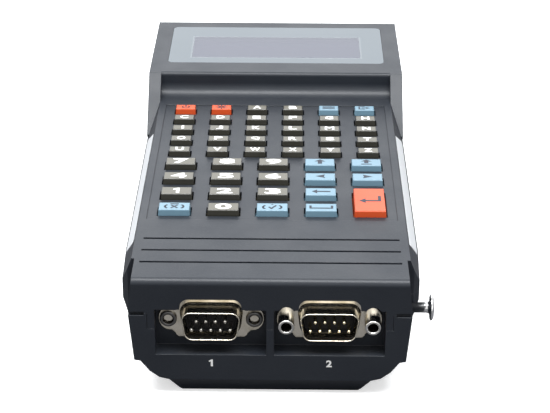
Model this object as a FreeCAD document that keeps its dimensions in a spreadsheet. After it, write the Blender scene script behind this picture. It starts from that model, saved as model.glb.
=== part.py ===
import FreeCAD, Part
import math
import os
import Sketcher

# Portable barcode data terminal, in millimetres.
# X runs to the right, Y away from the connector end, Z up.
# The origin is on the flat underside of the belly, which the terminal rests on.

MODEL_SIZES = {
    # where the case lies
    "front_reach": 96.0,
    "case_long": 191.0,
    "deck_high": 38.0,
    "head_high": 46.0,
    "seam_high": 27.0,
    "wall": 2.2,
    "overshoot": 1.0,
    "overlap": 0.5,
    "ledge": 1.2,
    # half widths of the case
    "nose_half": 39.6,
    "nose_seam_half": 40.8,
    "deck_half": 40.5,
    "waist_half": 44.8,
    "ear_start": 13.0,
    "ear_step": 2.2,
    "ear_half": 43.6,
    "ear_full": 40.0,
    # display head
    "head_start": 138.3,
    "cove_round": 4.0,
    "cheek_start": 122.0,
    "cheek_drop": 9.0,
    "lip_round": 1.2,
    "nose_round": 1.8,
    # grooves and keypad recess in the deck
    "groove_start": 10.5,
    "groove_pitch": 7.4,
    "groove_wide": 1.0,
    "groove_deep": 1.0,
    "groove_half": 38.0,
    "keypad_start": 38.5,
    "keypad_end": 127.9,
    "keypad_half": 38.2,
    "keypad_deep": 0.4,
    # side grip recesses, whose ends lean back towards the head
    "grip_top_start": 25.4,
    "grip_top_end": 106.0,
    "grip_low_start": 34.6,
    "grip_low_end": 119.0,
    "grip_margin": 1.4,
    "grip_deep": 0.6,
    # keys
    "key_rise": 1.5,
    "key_travel": 1.2,
    "key_clear": 0.3,
    "key_flange": 0.9,
    "key_skin": 0.9,
    "key_draft": 0.25,
    "key_edge": 0.35,
    "under_clear": 0.25,
    "small_wide": 7.1,
    "small_deep": 4.2,
    "small_pitch": 12.4,
    "small_row_pitch": 8.85,
    "small_first_row": 87.3,
    "big_wide": 9.9,
    "big_deep": 5.5,
    "big_pitch": 15.0,
    "big_row_pitch": 11.05,
    "big_first_row": 44.55,
    # window and display
    "window_start": 148.1,
    "window_long": 36.8,
    "window_half": 38.9,
    "window_thick": 1.0,
    "window_clear": 0.1,
    "window_round": 2.0,
    "view_start": 153.5,
    "view_long": 20.8,
    "view_half": 30.5,
    "view_margin": 1.0,
    "module_margin": 3.5,
    "module_thick": 4.0,
    "module_board_thick": 1.6,
    "module_board_half": 39.0,
    "module_board_margin": 1.5,
    "module_post_out": 2.4,
    "module_post_radius": 2.0,
    # boards and key mat
    "board_start": 20.0,
    "board_end": 132.0,
    "board_half": 38.0,
    "board_thick": 1.6,
    "board_top": 31.0,
    "board_bearing": 1.6,
    "board_clear": 0.4,
    "mat_half": 34.6,
    "mat_start": 38.0,
    "mat_end": 129.5,
    "mat_thick": 2.4,
    "stub_clear": 0.35,
    # lower case
    "side_low_half": 41.3,
    "side_low": 18.0,
    "foot_half": 39.4,
    "foot_high": 11.6,
    "step_in": 1.8,
    "step_high": 11.3,
    "haunch_side_half": 35.0,
    "haunch_side_high": 7.9,
    "haunch_low_half": 32.2,
    "haunch_low_high": 5.8,
    "floor_high": 9.4,
    "cavity_seam_in": 3.8,
    "cavity_side_in": 3.4,
    "cavity_foot_in": 4.0,
    "cavity_foot_high": 12.4,
    "cavity_floor_half": 33.1,
    "belly_half": 29.4,
    "belly_high": 5.1,
    "rest_half": 26.7,
    "rest_bevel": 0.9,
    "belly_front": 3.0,
    "belly_end": 172.0,
    "belly_ramp": 12.0,
    # ports
    "port_face": 6.0,
    "port_panel": 2.3,
    "port_high": 22.7,
    "port_offset": 17.1,
    "port_inner": 1.1,
    "port_outer": 33.2,
    "port_floor": 13.5,
    "port_top": 28.25,
    "port_arch_half": 8.9,
    "port_arch_top": 31.7,
    "tongue_half": 35.3,
    "tongue_low": 22.0,
    "reveal_high": 1.2,
    "reveal_deep": 1.2,
    "reveal_inner": 36.2,
    "screw_spacing": 24.99,
    "flange_wide": 30.81,
    "flange_high": 12.55,
    "ear_high": 8.0,
    "flange_thick": 0.8,
    "shell_wide": 16.92,
    "shell_high": 8.36,
    "shell_skin": 0.4,
    "shell_round": 2.6,
    "shell_slope": 1.4,
    "plug_body_wide": 19.2,
    "plug_body_high": 10.8,
    "plug_body_long": 10.5,
    "plug_clear": 0.3,
    "pin_radius": 0.5,
    "pin_long": 5.0,
    "pin_pitch": 2.77,
    "pin_row": 2.84,
    "standoff_radius": 2.35,
    "standoff_long": 5.2,
    "insert_radius": 2.5,
    "insert_long": 0.9,
    "thread_radius": 1.42,
    "thread_long": 5.0,
    # battery bay and lid
    "cell_radius": 7.1,
    "cell_long": 49.2,
    "nub_radius": 2.6,
    "nub_long": 1.2,
    "cell_pitch": 14.3,
    "cell_high": 9.2,
    "bay_start": 22.5,
    "bay_long": 56.0,
    "bay_half": 28.9,
    "bay_top": 16.6,
    "bay_wall": 1.6,
    "lid_start": 20.4,
    "lid_gap": 0.3,
    "lid_swing": 1.0,
    "lid_thick": 1.5,
    "lid_lip": 0.5,
    "hinge_at": 83.0,
    "hinge_high": 2.1,
    "knuckle_radius": 2.1,
    "knuckle_half": 22.0,
    "hinge_pin_radius": 1.2,
    "hinge_pin_long": 2.4,
    "hinge_clear": 0.05,
    "latch_half": 8.0,
    "latch_long": 1.6,
    "latch_thick": 1.0,
    "latch_high": 2.0,
    "latch_slope": 0.6,
    "latch_root_low": 0.4,
    # strap stud
    "stud_at": 11.0,
    "stud_high": 23.6,
    "stud_radius": 1.55,
    "stud_reach": 46.5,
    "stud_seat": 38.6,
    "stud_boss_back": 0.6,
    "stud_boss_long": 1.6,
    "stud_flare": 0.6,
    "stud_bevel": 0.3,
    "stud_dome": 0.15,
    "stud_head_radius": 3.9,
    "stud_head_thick": 1.3,
    # screws that hold the two shells together
    "screw_x_front": 35.4,
    "screw_front": 11.6,
    "screw_x_rear": 39.2,
    "screw_rear": 184.5,
    "screw_radius": 1.25,
    "screw_head_radius": 2.1,
    "screw_head_high": 1.4,
    "slot_long": 2.9,
    "slot_wide": 0.6,
    "slot_deep": 0.7,
    "screw_seat": 15.0,
    "screw_long": 16.0,
    "screw_clear": 0.15,
    "post_radius": 2.9,
    # posts that carry the boards
    "rest_post_radius": 2.0,
    "rest_post_x": 34.2,
    "rest_post_front": 40.0,
    "rest_post_rear": 110.0,
}

SIGNS = (-1, 1)


class Size:
    """A length that knows its value and the sheet expression that gives it."""

    def __init__(self, value, text):
        self.value = value
        self.text = text

    def __add__(self, other):
        other = as_size(other)
        return Size(self.value + other.value, f"({self.text} + {other.text})")

    def __sub__(self, other):
        other = as_size(other)
        return Size(self.value - other.value, f"({self.text} - {other.text})")

    def __mul__(self, other):
        other = as_size(other)
        return Size(self.value * other.value, f"({self.text} * {other.text})")

    def __truediv__(self, other):
        other = as_size(other)
        return Size(self.value / other.value, f"({self.text} / {other.text})")

    def __radd__(self, other):
        return as_size(other) + self

    def __rsub__(self, other):
        return as_size(other) - self

    def __rmul__(self, other):
        return as_size(other) * self

    def __neg__(self):
        return Size(-self.value, f"(-1 * {self.text})")


def as_size(thing):
    """Turns a plain number into a Size."""
    if isinstance(thing, Size):
        return thing
    return Size(float(thing), f"({float(thing)!r})")


class SizeSheet:
    """The spreadsheet of driving sizes, read by name."""

    def __init__(self, document):
        self.sheet = document.addObject("Spreadsheet::Sheet", "Sizes")
        for row, (alias, value) in enumerate(MODEL_SIZES.items(), start=1):
            self.sheet.set(f"A{row}", alias)
            self.sheet.set(f"B{row}", str(value))
            self.sheet.setAlias(f"B{row}", alias)

    def __getattr__(self, alias):
        return Size(MODEL_SIZES[alias], f"Sizes.{alias}")


doc = FreeCAD.newDocument("DataTerminal")
S = SizeSheet(doc)
doc.recompute()

SUB_PARTS = []


def tie(thing, prop, length):
    """Binds one property to the sheet."""
    thing.setExpression(prop, as_size(length).text)


def settle(thing, x=0, y=0, z=0):
    """Puts a sub-part at its place in the terminal."""
    for axis, length in zip("xyz", (x, y, z)):
        tie(thing, f"Placement.Base.{axis}", length)


def sub_part(thing, label):
    """Names a finished sub-part and lists it for export."""
    thing.Label = label
    SUB_PARTS.append(thing)
    return thing


# Sketch based bodies

def new_body(name):
    """Starts a body whose own Y is counted from the connector end."""
    body = doc.addObject("PartDesign::Body", name)
    settle(body, 0, -S.front_reach, 0)
    return body


def origin_feature(body, role):
    """Finds one of a body's own origin planes or axes."""
    for feature in body.Origin.OriginFeatures:
        if feature.Role == role:
            return feature
    raise ValueError(role)


def new_sketch(body, name, role, offset=0):
    """Adds a sketch on an origin plane, moved along the plane's normal."""
    sketch = body.newObject("Sketcher::SketchObject", name)
    sketch.AttachmentSupport = [(origin_feature(body, role), "")]
    sketch.MapMode = "FlatFace"
    tie(sketch, "AttachmentOffset.Base.z", offset)
    return sketch


def draw_polygon(sketch, corners):
    """Draws a closed outline whose corners are tied to the sheet."""
    first = sketch.GeometryCount
    corners = [(as_size(a), as_size(b)) for a, b in corners]
    count = len(corners)
    for index in range(count):
        start = corners[index]
        end = corners[(index + 1) % count]
        sketch.addGeometry(Part.LineSegment(
            FreeCAD.Vector(start[0].value, start[1].value, 0),
            FreeCAD.Vector(end[0].value, end[1].value, 0)), False)
    for index in range(count):
        sketch.addConstraint(Sketcher.Constraint(
            "Coincident", first + index, 2, first + (index + 1) % count, 1))
    for index, corner in enumerate(corners):
        for kind, length in zip(("DistanceX", "DistanceY"), corner):
            edge = first + index
            number = sketch.addConstraint(Sketcher.Constraint(kind, edge, 1, length.value))
            sketch.renameConstraint(number, f"{kind}{edge}")
            tie(sketch, f"Constraints.{kind}{edge}", length)


def draw_rectangle(sketch, x_low, x_high, y_low, y_high):
    """Draws a rectangle between four tied lengths."""
    draw_polygon(sketch, [(x_low, y_low), (x_high, y_low), (x_high, y_high), (x_low, y_high)])


def draw_circle(sketch, x, y, radius):
    """Draws a circle whose centre and radius are tied to the sheet."""
    x, y, radius = as_size(x), as_size(y), as_size(radius)
    ring = sketch.addGeometry(Part.Circle(
        FreeCAD.Vector(x.value, y.value, 0), FreeCAD.Vector(0, 0, 1), radius.value), False)
    for kind, length in (("DistanceX", x), ("DistanceY", y)):
        number = sketch.addConstraint(Sketcher.Constraint(kind, ring, 3, length.value))
        sketch.renameConstraint(number, f"{kind}{ring}")
        tie(sketch, f"Constraints.{kind}{ring}", length)
    number = sketch.addConstraint(Sketcher.Constraint("Radius", ring, radius.value))
    sketch.renameConstraint(number, f"Radius{ring}")
    tie(sketch, f"Constraints.Radius{ring}", radius)


def add_feature(body, kind, sketch, name, length, reverse=False, midplane=False):
    """Pads or pockets a sketch and checks that the volume moves the right way."""
    before = body.Shape.Volume if body.Tip else 0.0
    feature = body.newObject(f"PartDesign::{kind}", name)
    feature.Profile = sketch
    feature.Midplane = midplane
    feature.Reversed = reverse
    tie(feature, "Length", length)
    doc.recompute()
    gained = body.Shape.Volume - before
    if (gained <= 0) if kind == "Pad" else (gained >= 0):
        raise RuntimeError(f"{name} in {body.Name} changes nothing: {gained:.3f}")
    return feature


def pattern(body, feature, name, first, second=None):
    """Repeats a feature along one or two axes: (axis role, pitch, copies)."""
    rows = body.newObject("PartDesign::LinearPattern", name)
    rows.Originals = [feature]
    rows.Direction = (origin_feature(body, first[0]), [""])
    rows.Mode = "Spacing"
    tie(rows, "Offset", first[1])
    rows.Occurrences = first[2]
    if second:
        rows.Direction2 = (origin_feature(body, second[0]), [""])
        rows.Mode2 = "Spacing"
        tie(rows, "Offset2", second[1])
        rows.Occurrences2 = second[2]
        rows.Spacings2 = [-1.0] * (second[2] - 1)
    body.Tip = rows
    doc.recompute()
    return rows


def round_edges(body, name, radius, wanted):
    """Fillets the edges whose middle and direction pass a test."""
    base = body.Tip
    picked = []
    for number, edge in enumerate(base.Shape.Edges, start=1):
        middle = edge.valueAt((edge.FirstParameter + edge.LastParameter) / 2)
        start = edge.valueAt(edge.FirstParameter)
        end = edge.valueAt(edge.LastParameter)
        if wanted(middle, end - start):
            picked.append(f"Edge{number}")
    if not picked:
        raise RuntimeError(f"{name} in {body.Name} finds no edge")
    fillet = body.newObject("PartDesign::Fillet", name)
    fillet.Base = (base, picked)
    tie(fillet, "Radius", radius)
    doc.recompute()
    return fillet


def near(value, target, tolerance=0.02):
    """Says whether two numbers are about equal."""
    return abs(value - as_size(target).value) < tolerance


def both_sides(sketch, x_low, x_high, y_low, y_high):
    """Draws a rectangle and its mirror image on the other side of X = 0."""
    draw_rectangle(sketch, x_low, x_high, y_low, y_high)
    draw_rectangle(sketch, -x_high, -x_low, y_low, y_high)


# Where keys, screws and posts stand

KEY_COLUMNS_SMALL = 6
KEY_ROWS_SMALL = 5
KEY_COLUMNS_BIG = 5
KEY_ROWS_BIG = 4


def centred(index, count, pitch):
    """The place of one of several evenly spaced things about zero."""
    return pitch * (index - (count - 1) / 2)


small_first_x = centred(0, KEY_COLUMNS_SMALL, S.small_pitch)
big_first_x = centred(0, KEY_COLUMNS_BIG, S.big_pitch)
enter_deep = S.big_row_pitch + S.big_deep
bezel_under = S.deck_high - S.wall
flange_top = bezel_under - S.under_clear
flange_low = flange_top - S.key_flange
key_top = S.deck_high + S.key_rise
key_roof = key_top - S.key_skin
mat_top = S.board_top + S.mat_thick
stub_top = key_roof - S.key_travel - S.stub_clear
case_rear = S.case_long - S.wall
panel_back = S.port_face + S.port_panel
head_under = S.head_high - S.wall
screw_spots = [(sign * S.screw_x_front, S.screw_front) for sign in SIGNS]
screw_spots += [(sign * S.screw_x_rear, S.screw_rear) for sign in SIGNS]


def trim_ears(body, name, low, tall):
    """Cuts the sides of a shell back to the plan outline of the nose and ears."""
    sketch = new_sketch(body, f"{name}Plan", "XY_Plane", low)
    far = S.waist_half + 5 * S.overshoot
    for sign in SIGNS:
        corners = [
            (sign * (S.nose_seam_half + S.overshoot), S.ear_start),
            (sign * S.ear_half, S.ear_start + S.ear_step),
            (sign * S.waist_half, S.ear_full),
            (sign * far, S.ear_full),
            (sign * far, S.ear_start),
        ]
        draw_polygon(sketch, corners)
    add_feature(body, "Pocket", sketch, f"{name}Trim", tall, reverse=True)


def cut_ports(body, name):
    """Opens the two port recesses, their arches and the holes in the port panel."""
    sketch = new_sketch(body, f"{name}Recesses", "XZ_Plane")
    both_sides(sketch, S.port_inner, S.port_outer, S.port_floor, S.port_top)
    add_feature(body, "Pocket", sketch, f"{name}Recess", S.port_face)
    if name == "Upper":
        sketch = new_sketch(body, f"{name}Arches", "XZ_Plane")
        both_sides(sketch, S.port_offset - S.port_arch_half, S.port_offset + S.port_arch_half,
                   S.tongue_low - S.overshoot, S.port_arch_top)
        add_feature(body, "Pocket", sketch, f"{name}Arch", S.port_face)
        round_edges(body, f"{name}ArchRound", S.shell_round, lambda middle, way: (
            near(middle.z, S.port_arch_top) and near(way.x, 0) and near(way.z, 0)))
        sketch = new_sketch(body, f"{name}Notches", "XZ_Plane")
        for side in SIGNS:
            draw_circle(sketch, S.port_offset + side * S.screw_spacing / 2,
                        S.port_top - S.ledge, S.standoff_radius + S.plug_clear / 3)
        add_feature(body, "Pocket", sketch, f"{name}Notch", S.port_face)
    sketch = new_sketch(body, f"{name}PanelHoles", "XZ_Plane")
    half = S.plug_body_wide / 2 + S.plug_clear
    tall = S.plug_body_high / 2 + S.plug_clear
    both_sides(sketch, S.port_offset - half, S.port_offset + half,
               S.port_high - tall, S.port_high + tall)
    add_feature(body, "Pocket", sketch, f"{name}PanelHole", panel_back + S.overshoot)
    sketch = new_sketch(body, f"{name}JackHoles", "XZ_Plane")
    for sign in SIGNS:
        for side in SIGNS:
            draw_circle(sketch, sign * S.port_offset + side * S.screw_spacing / 2,
                        S.port_high, S.thread_radius + S.wall / 2 + S.plug_clear)
    add_feature(body, "Pocket", sketch, f"{name}JackHole", panel_back + S.overshoot)


def make_upper_case():
    """The top shell: nose, deck with its keypad, cheeks and display head."""
    body = new_body("UpperCase")
    sketch = new_sketch(body, "DeckSection", "XZ_Plane", -S.ear_start)
    draw_polygon(sketch, [
        (-S.waist_half, S.seam_high), (S.waist_half, S.seam_high),
        (S.deck_half, S.deck_high), (-S.deck_half, S.deck_high)])
    add_feature(body, "Pad", sketch, "Deck", S.head_start + S.wall - S.ear_start, reverse=True)
    sketch = new_sketch(body, "NoseSection", "XZ_Plane")
    draw_polygon(sketch, [
        (-S.nose_seam_half, S.seam_high), (S.nose_seam_half, S.seam_high),
        (S.nose_half, S.deck_high), (-S.nose_half, S.deck_high)])
    add_feature(body, "Pad", sketch, "Nose", S.ear_start + S.overshoot, reverse=True)
    trim_ears(body, "Upper", S.seam_high - S.overshoot, S.deck_high)
    sketch = new_sketch(body, "HeadSection", "YZ_Plane")
    draw_polygon(sketch, [
        (S.head_start, S.head_high), (S.cheek_start, S.deck_high - S.cheek_drop),
        (S.cheek_start + 2 * S.overshoot, S.seam_high), (S.case_long, S.seam_high),
        (S.case_long, S.head_high)])
    add_feature(body, "Pad", sketch, "Head", 2 * S.waist_half, midplane=True)
    sketch = new_sketch(body, "ThroatSection", "YZ_Plane")
    draw_rectangle(sketch, S.cheek_start - S.overshoot, S.head_start,
                   S.deck_high, S.head_high + S.overshoot)
    add_feature(body, "Pocket", sketch, "Throat", 2 * S.deck_half, midplane=True)
    round_edges(body, "Cove", S.cove_round, lambda middle, way: (
        near(middle.y, S.head_start) and near(middle.z, S.deck_high)
        and abs(way.x) > S.deck_half.value))
    round_edges(body, "NoseRound", S.nose_round, lambda middle, way: (
        near(middle.y, 0) and near(middle.z, S.deck_high)))
    round_edges(body, "LipRound", S.lip_round, lambda middle, way: (
        near(middle.z, S.head_high) and abs(way.x) > S.deck_half.value))

    sketch = new_sketch(body, "TongueSection", "XZ_Plane")
    draw_rectangle(sketch, -S.tongue_half, S.tongue_half, S.tongue_low, S.seam_high + S.overshoot)
    add_feature(body, "Pad", sketch, "Tongue", panel_back, reverse=True)

    sketch = new_sketch(body, "CavityLowPlan", "XY_Plane", S.seam_high - S.overshoot)
    inner = S.board_half + S.board_clear
    draw_rectangle(sketch, -inner, inner, panel_back, case_rear)
    add_feature(body, "Pocket", sketch, "CavityLow",
                S.board_top - S.seam_high + S.overshoot, reverse=True)
    sketch = new_sketch(body, "CavityHighPlan", "XY_Plane", S.board_top - S.overshoot)
    inner = S.board_half - S.board_bearing
    draw_rectangle(sketch, -inner, inner, panel_back, case_rear)
    add_feature(body, "Pocket", sketch, "CavityHigh",
                bezel_under - S.board_top + S.overshoot, reverse=True)
    sketch = new_sketch(body, "HeadCavityPlan", "XY_Plane", S.seam_high - S.overshoot)
    inner = S.waist_half - S.wall
    draw_rectangle(sketch, -inner, inner, S.head_start + S.wall, case_rear)
    add_feature(body, "Pocket", sketch, "HeadCavity",
                head_under - S.seam_high + S.overshoot, reverse=True)

    sketch = new_sketch(body, "GroovePlan", "XY_Plane", S.deck_high)
    draw_rectangle(sketch, -S.groove_half, S.groove_half,
                   S.groove_start, S.groove_start + S.groove_wide)
    groove = add_feature(body, "Pocket", sketch, "Groove", S.groove_deep)
    pattern(body, groove, "Grooves", ("Y_Axis", S.groove_pitch, 3))
    sketch = new_sketch(body, "KeypadPlan", "XY_Plane", S.deck_high)
    draw_rectangle(sketch, -S.keypad_half, S.keypad_half, S.keypad_start, S.keypad_end)
    add_feature(body, "Pocket", sketch, "Keypad", S.keypad_deep)

    sketch = new_sketch(body, "SmallKeyHolePlan", "XY_Plane", S.deck_high)
    half_x = S.small_wide / 2 + S.key_clear
    half_y = S.small_deep / 2 + S.key_clear
    draw_rectangle(sketch, small_first_x - half_x, small_first_x + half_x,
                   S.small_first_row - half_y, S.small_first_row + half_y)
    hole = add_feature(body, "Pocket", sketch, "SmallKeyHole", S.wall + S.overshoot)
    pattern(body, hole, "SmallKeyHoles", ("X_Axis", S.small_pitch, KEY_COLUMNS_SMALL),
            ("Y_Axis", S.small_row_pitch, KEY_ROWS_SMALL))
    sketch = new_sketch(body, "BigKeyHolePlan", "XY_Plane", S.deck_high)
    half_x = S.big_wide / 2 + S.key_clear
    half_y = S.big_deep / 2 + S.key_clear
    draw_rectangle(sketch, big_first_x - half_x, big_first_x + half_x,
                   S.big_first_row - half_y, S.big_first_row + half_y)
    hole = add_feature(body, "Pocket", sketch, "BigKeyHole", S.wall + S.overshoot)
    pattern(body, hole, "BigKeyHoles", ("X_Axis", S.big_pitch, KEY_COLUMNS_BIG),
            ("Y_Axis", S.big_row_pitch, KEY_ROWS_BIG))
    sketch = new_sketch(body, "EnterHolePlan", "XY_Plane", S.deck_high)
    draw_rectangle(sketch, -big_first_x - half_x, -big_first_x + half_x,
                   S.big_first_row - half_y, S.big_first_row + S.big_row_pitch + half_y)
    add_feature(body, "Pocket", sketch, "EnterHole", S.wall + S.overshoot)

    sketch = new_sketch(body, "WindowPlan", "XY_Plane", S.head_high)
    draw_rectangle(sketch, -S.window_half, S.window_half,
                   S.window_start, S.window_start + S.window_long)
    add_feature(body, "Pocket", sketch, "WindowSeat", S.window_thick)
    round_edges(body, "WindowSeatRound", S.window_round, lambda middle, way: (
        near(abs(middle.x), S.window_half) and abs(way.z) > 0.5 and abs(way.y) < 0.1))
    sketch = new_sketch(body, "ViewPlan", "XY_Plane", S.head_high)
    wide = S.view_half + S.view_margin
    draw_rectangle(sketch, -wide, wide, S.view_start - S.view_margin,
                   S.view_start + S.view_long + S.view_margin)
    add_feature(body, "Pocket", sketch, "ViewHole", S.wall + S.overshoot)

    cut_ports(body, "Upper")

    sketch = new_sketch(body, "RevealSection", "XZ_Plane")
    both_sides(sketch, S.reveal_inner, S.nose_seam_half + S.overshoot,
               S.seam_high - S.overshoot, S.seam_high + S.reveal_high / 2)
    add_feature(body, "Pocket", sketch, "Reveal", S.reveal_deep)

    sketch = new_sketch(body, "FrontPostPlan", "XY_Plane", S.seam_high)
    for x, y in screw_spots[:2]:
        draw_circle(sketch, x, y, S.post_radius)
    add_feature(body, "Pad", sketch, "FrontPosts", bezel_under - S.seam_high + S.overlap)
    sketch = new_sketch(body, "RearPostPlan", "XY_Plane", S.seam_high)
    for x, y in screw_spots[2:]:
        draw_circle(sketch, x, y, S.post_radius)
    add_feature(body, "Pad", sketch, "RearPosts", head_under - S.seam_high + S.overlap)
    sketch = new_sketch(body, "PostHolePlan", "XY_Plane", S.seam_high - S.overlap)
    for x, y in screw_spots:
        draw_circle(sketch, x, y, S.screw_radius)
    deep = S.screw_seat + S.screw_long - S.seam_high + S.overshoot
    add_feature(body, "Pocket", sketch, "PostHoles", deep, reverse=True)

    sketch = new_sketch(body, "ModulePostPlan", "XY_Plane", head_under - S.module_thick)
    for sign in SIGNS:
        for y in (S.view_start - S.module_margin + S.overshoot,
                  S.view_start + S.view_long + S.module_margin - S.overshoot):
            draw_circle(sketch, sign * (S.view_half + S.module_margin + S.module_post_out), y,
                        S.module_post_radius)
    add_feature(body, "Pad", sketch, "ModulePosts", S.module_thick + S.overlap)
    cut_grips(body)
    return sub_part(body, "upper_case")


def cut_grips(body):
    """Sinks the two long grip recesses into the slanted sides of the deck."""
    spread = S.waist_half - S.deck_half
    fall = S.deck_high - S.seam_high
    slant = math.hypot(spread.value, fall.value)
    long = Size(slant, f"sqrt({spread.text}^2 + {fall.text}^2)")
    tilt = math.degrees(math.atan2(fall.value, spread.value))
    for sign, side in zip(SIGNS, ("Left", "Right")):
        sketch = new_sketch(body, f"{side}GripPlan", "XY_Plane")
        sketch.AttachmentOffset = FreeCAD.Placement(
            FreeCAD.Vector(sign * S.deck_half.value, 0, S.deck_high.value),
            FreeCAD.Rotation(FreeCAD.Vector(0, 1, 0), sign * tilt))
        tie(sketch, "AttachmentOffset.Base.x", sign * S.deck_half)
        tie(sketch, "AttachmentOffset.Base.z", S.deck_high)
        tie(sketch, "AttachmentOffset.Rotation.Angle",
            Size(tilt, f"atan2({fall.text}; {spread.text})"))
        top = sign * S.grip_margin
        low = sign * (long - S.grip_margin)
        draw_polygon(sketch, [(top, S.grip_top_start), (low, S.grip_low_start),
                              (low, S.grip_low_end), (top, S.grip_top_end)])
        add_feature(body, "Pocket", sketch, f"{side}Grip", S.grip_deep)


def lower_section(points_above):
    """The right half outline of the lower shell below its side, then its mirror."""
    shared = [
        (S.foot_half, S.foot_high),
        (S.foot_half - S.step_in, S.step_high),
        (S.haunch_side_half, S.haunch_side_high),
        (S.haunch_low_half, S.haunch_low_high),
        (S.belly_half, S.belly_high),
        (S.rest_half, S.rest_bevel),
        (S.rest_half - S.rest_bevel, 0),
    ]
    right = points_above + shared
    left = [(-as_size(x), z) for x, z in reversed(right)]
    return right + left


def make_lower_case():
    """The bottom shell: sides, belly, battery bay, port recess and screw posts."""
    body = new_body("LowerCase")
    sketch = new_sketch(body, "MainSection", "XZ_Plane", -S.ear_start)
    draw_polygon(sketch, lower_section([
        (S.waist_half, S.seam_high), (S.side_low_half, S.side_low)]))
    add_feature(body, "Pad", sketch, "Main", S.case_long - S.ear_start, reverse=True)
    sketch = new_sketch(body, "NoseSection", "XZ_Plane")
    draw_polygon(sketch, lower_section([(S.nose_seam_half, S.seam_high)]))
    add_feature(body, "Pad", sketch, "Nose", S.ear_start + S.overshoot, reverse=True)
    trim_ears(body, "Lower", -S.overshoot, S.deck_high)

    sketch = new_sketch(body, "BellyEnds", "YZ_Plane")
    past = S.overshoot
    draw_polygon(sketch, [(-past, -past), (-past, S.belly_high), (0, S.belly_high),
                          (S.belly_front, 0), (S.belly_front, -past)])
    draw_polygon(sketch, [
        (S.belly_end - S.belly_ramp, 0), (S.belly_end, S.belly_high),
        (S.case_long + past, S.belly_high), (S.case_long + past, -past),
        (S.belly_end - S.belly_ramp, -past)])
    add_feature(body, "Pocket", sketch, "BellyEndCuts", 2 * S.waist_half, midplane=True)

    sketch = new_sketch(body, "CavitySection", "XZ_Plane", -panel_back)
    right = [(S.waist_half - S.cavity_seam_in, S.seam_high + S.overshoot),
             (S.side_low_half - S.cavity_side_in, S.side_low),
             (S.foot_half - S.cavity_foot_in, S.cavity_foot_high),
             (S.cavity_floor_half, S.floor_high)]
    left = [(-x, z) for x, z in reversed(right)]
    draw_polygon(sketch, right + left)
    add_feature(body, "Pocket", sketch, "Cavity", case_rear - panel_back)

    sketch = new_sketch(body, "BayBlockPlan", "XY_Plane", S.belly_high)
    wide = S.bay_half + S.bay_wall
    bay_end = S.bay_start + S.bay_long
    draw_rectangle(sketch, -wide, wide, S.bay_start - S.bay_wall, S.hinge_at + 3 * S.bay_wall)
    add_feature(body, "Pad", sketch, "BayBlock", S.bay_top + S.bay_wall - S.belly_high)
    sketch = new_sketch(body, "BayPlan", "XY_Plane", -past)
    draw_rectangle(sketch, -S.bay_half, S.bay_half, S.bay_start, bay_end)
    add_feature(body, "Pocket", sketch, "Bay", S.bay_top + past, reverse=True)
    sketch = new_sketch(body, "LidSeatPlan", "XY_Plane", -past)
    wide = S.belly_half + S.lid_gap
    narrow = S.knuckle_half + S.lid_gap
    seat_front = S.lid_start - S.lid_gap
    seat_rear = S.hinge_at + S.knuckle_radius + S.lid_gap
    wide_rear = S.hinge_at - S.knuckle_radius - S.lid_gap
    draw_polygon(sketch, [
        (-wide, seat_front), (wide, seat_front), (wide, wide_rear), (narrow, wide_rear),
        (narrow, seat_rear), (-narrow, seat_rear), (-narrow, wide_rear), (-wide, wide_rear)])
    add_feature(body, "Pocket", sketch, "LidSeat", past + S.belly_high + S.lid_gap, reverse=True)
    sketch = new_sketch(body, "HingeBoreSection", "YZ_Plane")
    draw_circle(sketch, S.hinge_at, S.hinge_high, S.hinge_pin_radius + S.hinge_clear)
    add_feature(body, "Pocket", sketch, "HingeBore",
                2 * (S.knuckle_half + S.lid_gap + S.hinge_pin_long + S.lid_gap), midplane=True)
    sketch = new_sketch(body, "LatchSlotSection", "YZ_Plane")
    draw_rectangle(sketch, seat_front - S.latch_long - S.lid_gap, seat_front + S.overlap,
                   -S.overshoot, S.latch_high + S.latch_thick + S.lid_gap)
    add_feature(body, "Pocket", sketch, "LatchSlot", 2 * (S.latch_half + S.lid_gap), midplane=True)

    sketch = new_sketch(body, "PostPlan", "XY_Plane", S.screw_seat - S.wall)
    for x, y in screw_spots:
        draw_circle(sketch, x, y, S.post_radius)
    add_feature(body, "Pad", sketch, "Posts", S.seam_high - S.screw_seat + S.wall)
    sketch = new_sketch(body, "SeatPlan", "XY_Plane", -past)
    for x, y in screw_spots:
        draw_circle(sketch, x, y, S.screw_head_radius + S.screw_clear)
    add_feature(body, "Pocket", sketch, "ScrewSeats", S.screw_seat + past, reverse=True)
    sketch = new_sketch(body, "PostHolePlan", "XY_Plane", S.screw_seat - past)
    for x, y in screw_spots:
        draw_circle(sketch, x, y, S.screw_radius + S.screw_clear)
    add_feature(body, "Pocket", sketch, "PostHoles",
                S.seam_high - S.screw_seat + 2 * past, reverse=True)
    sketch = new_sketch(body, "RestPostPlan", "XY_Plane", S.floor_high)
    for sign in SIGNS:
        for y in (S.rest_post_front, S.rest_post_rear):
            draw_circle(sketch, sign * S.rest_post_x, y, S.rest_post_radius)
    add_feature(body, "Pad", sketch, "RestPosts", S.board_top - S.board_thick - S.floor_high)

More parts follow.
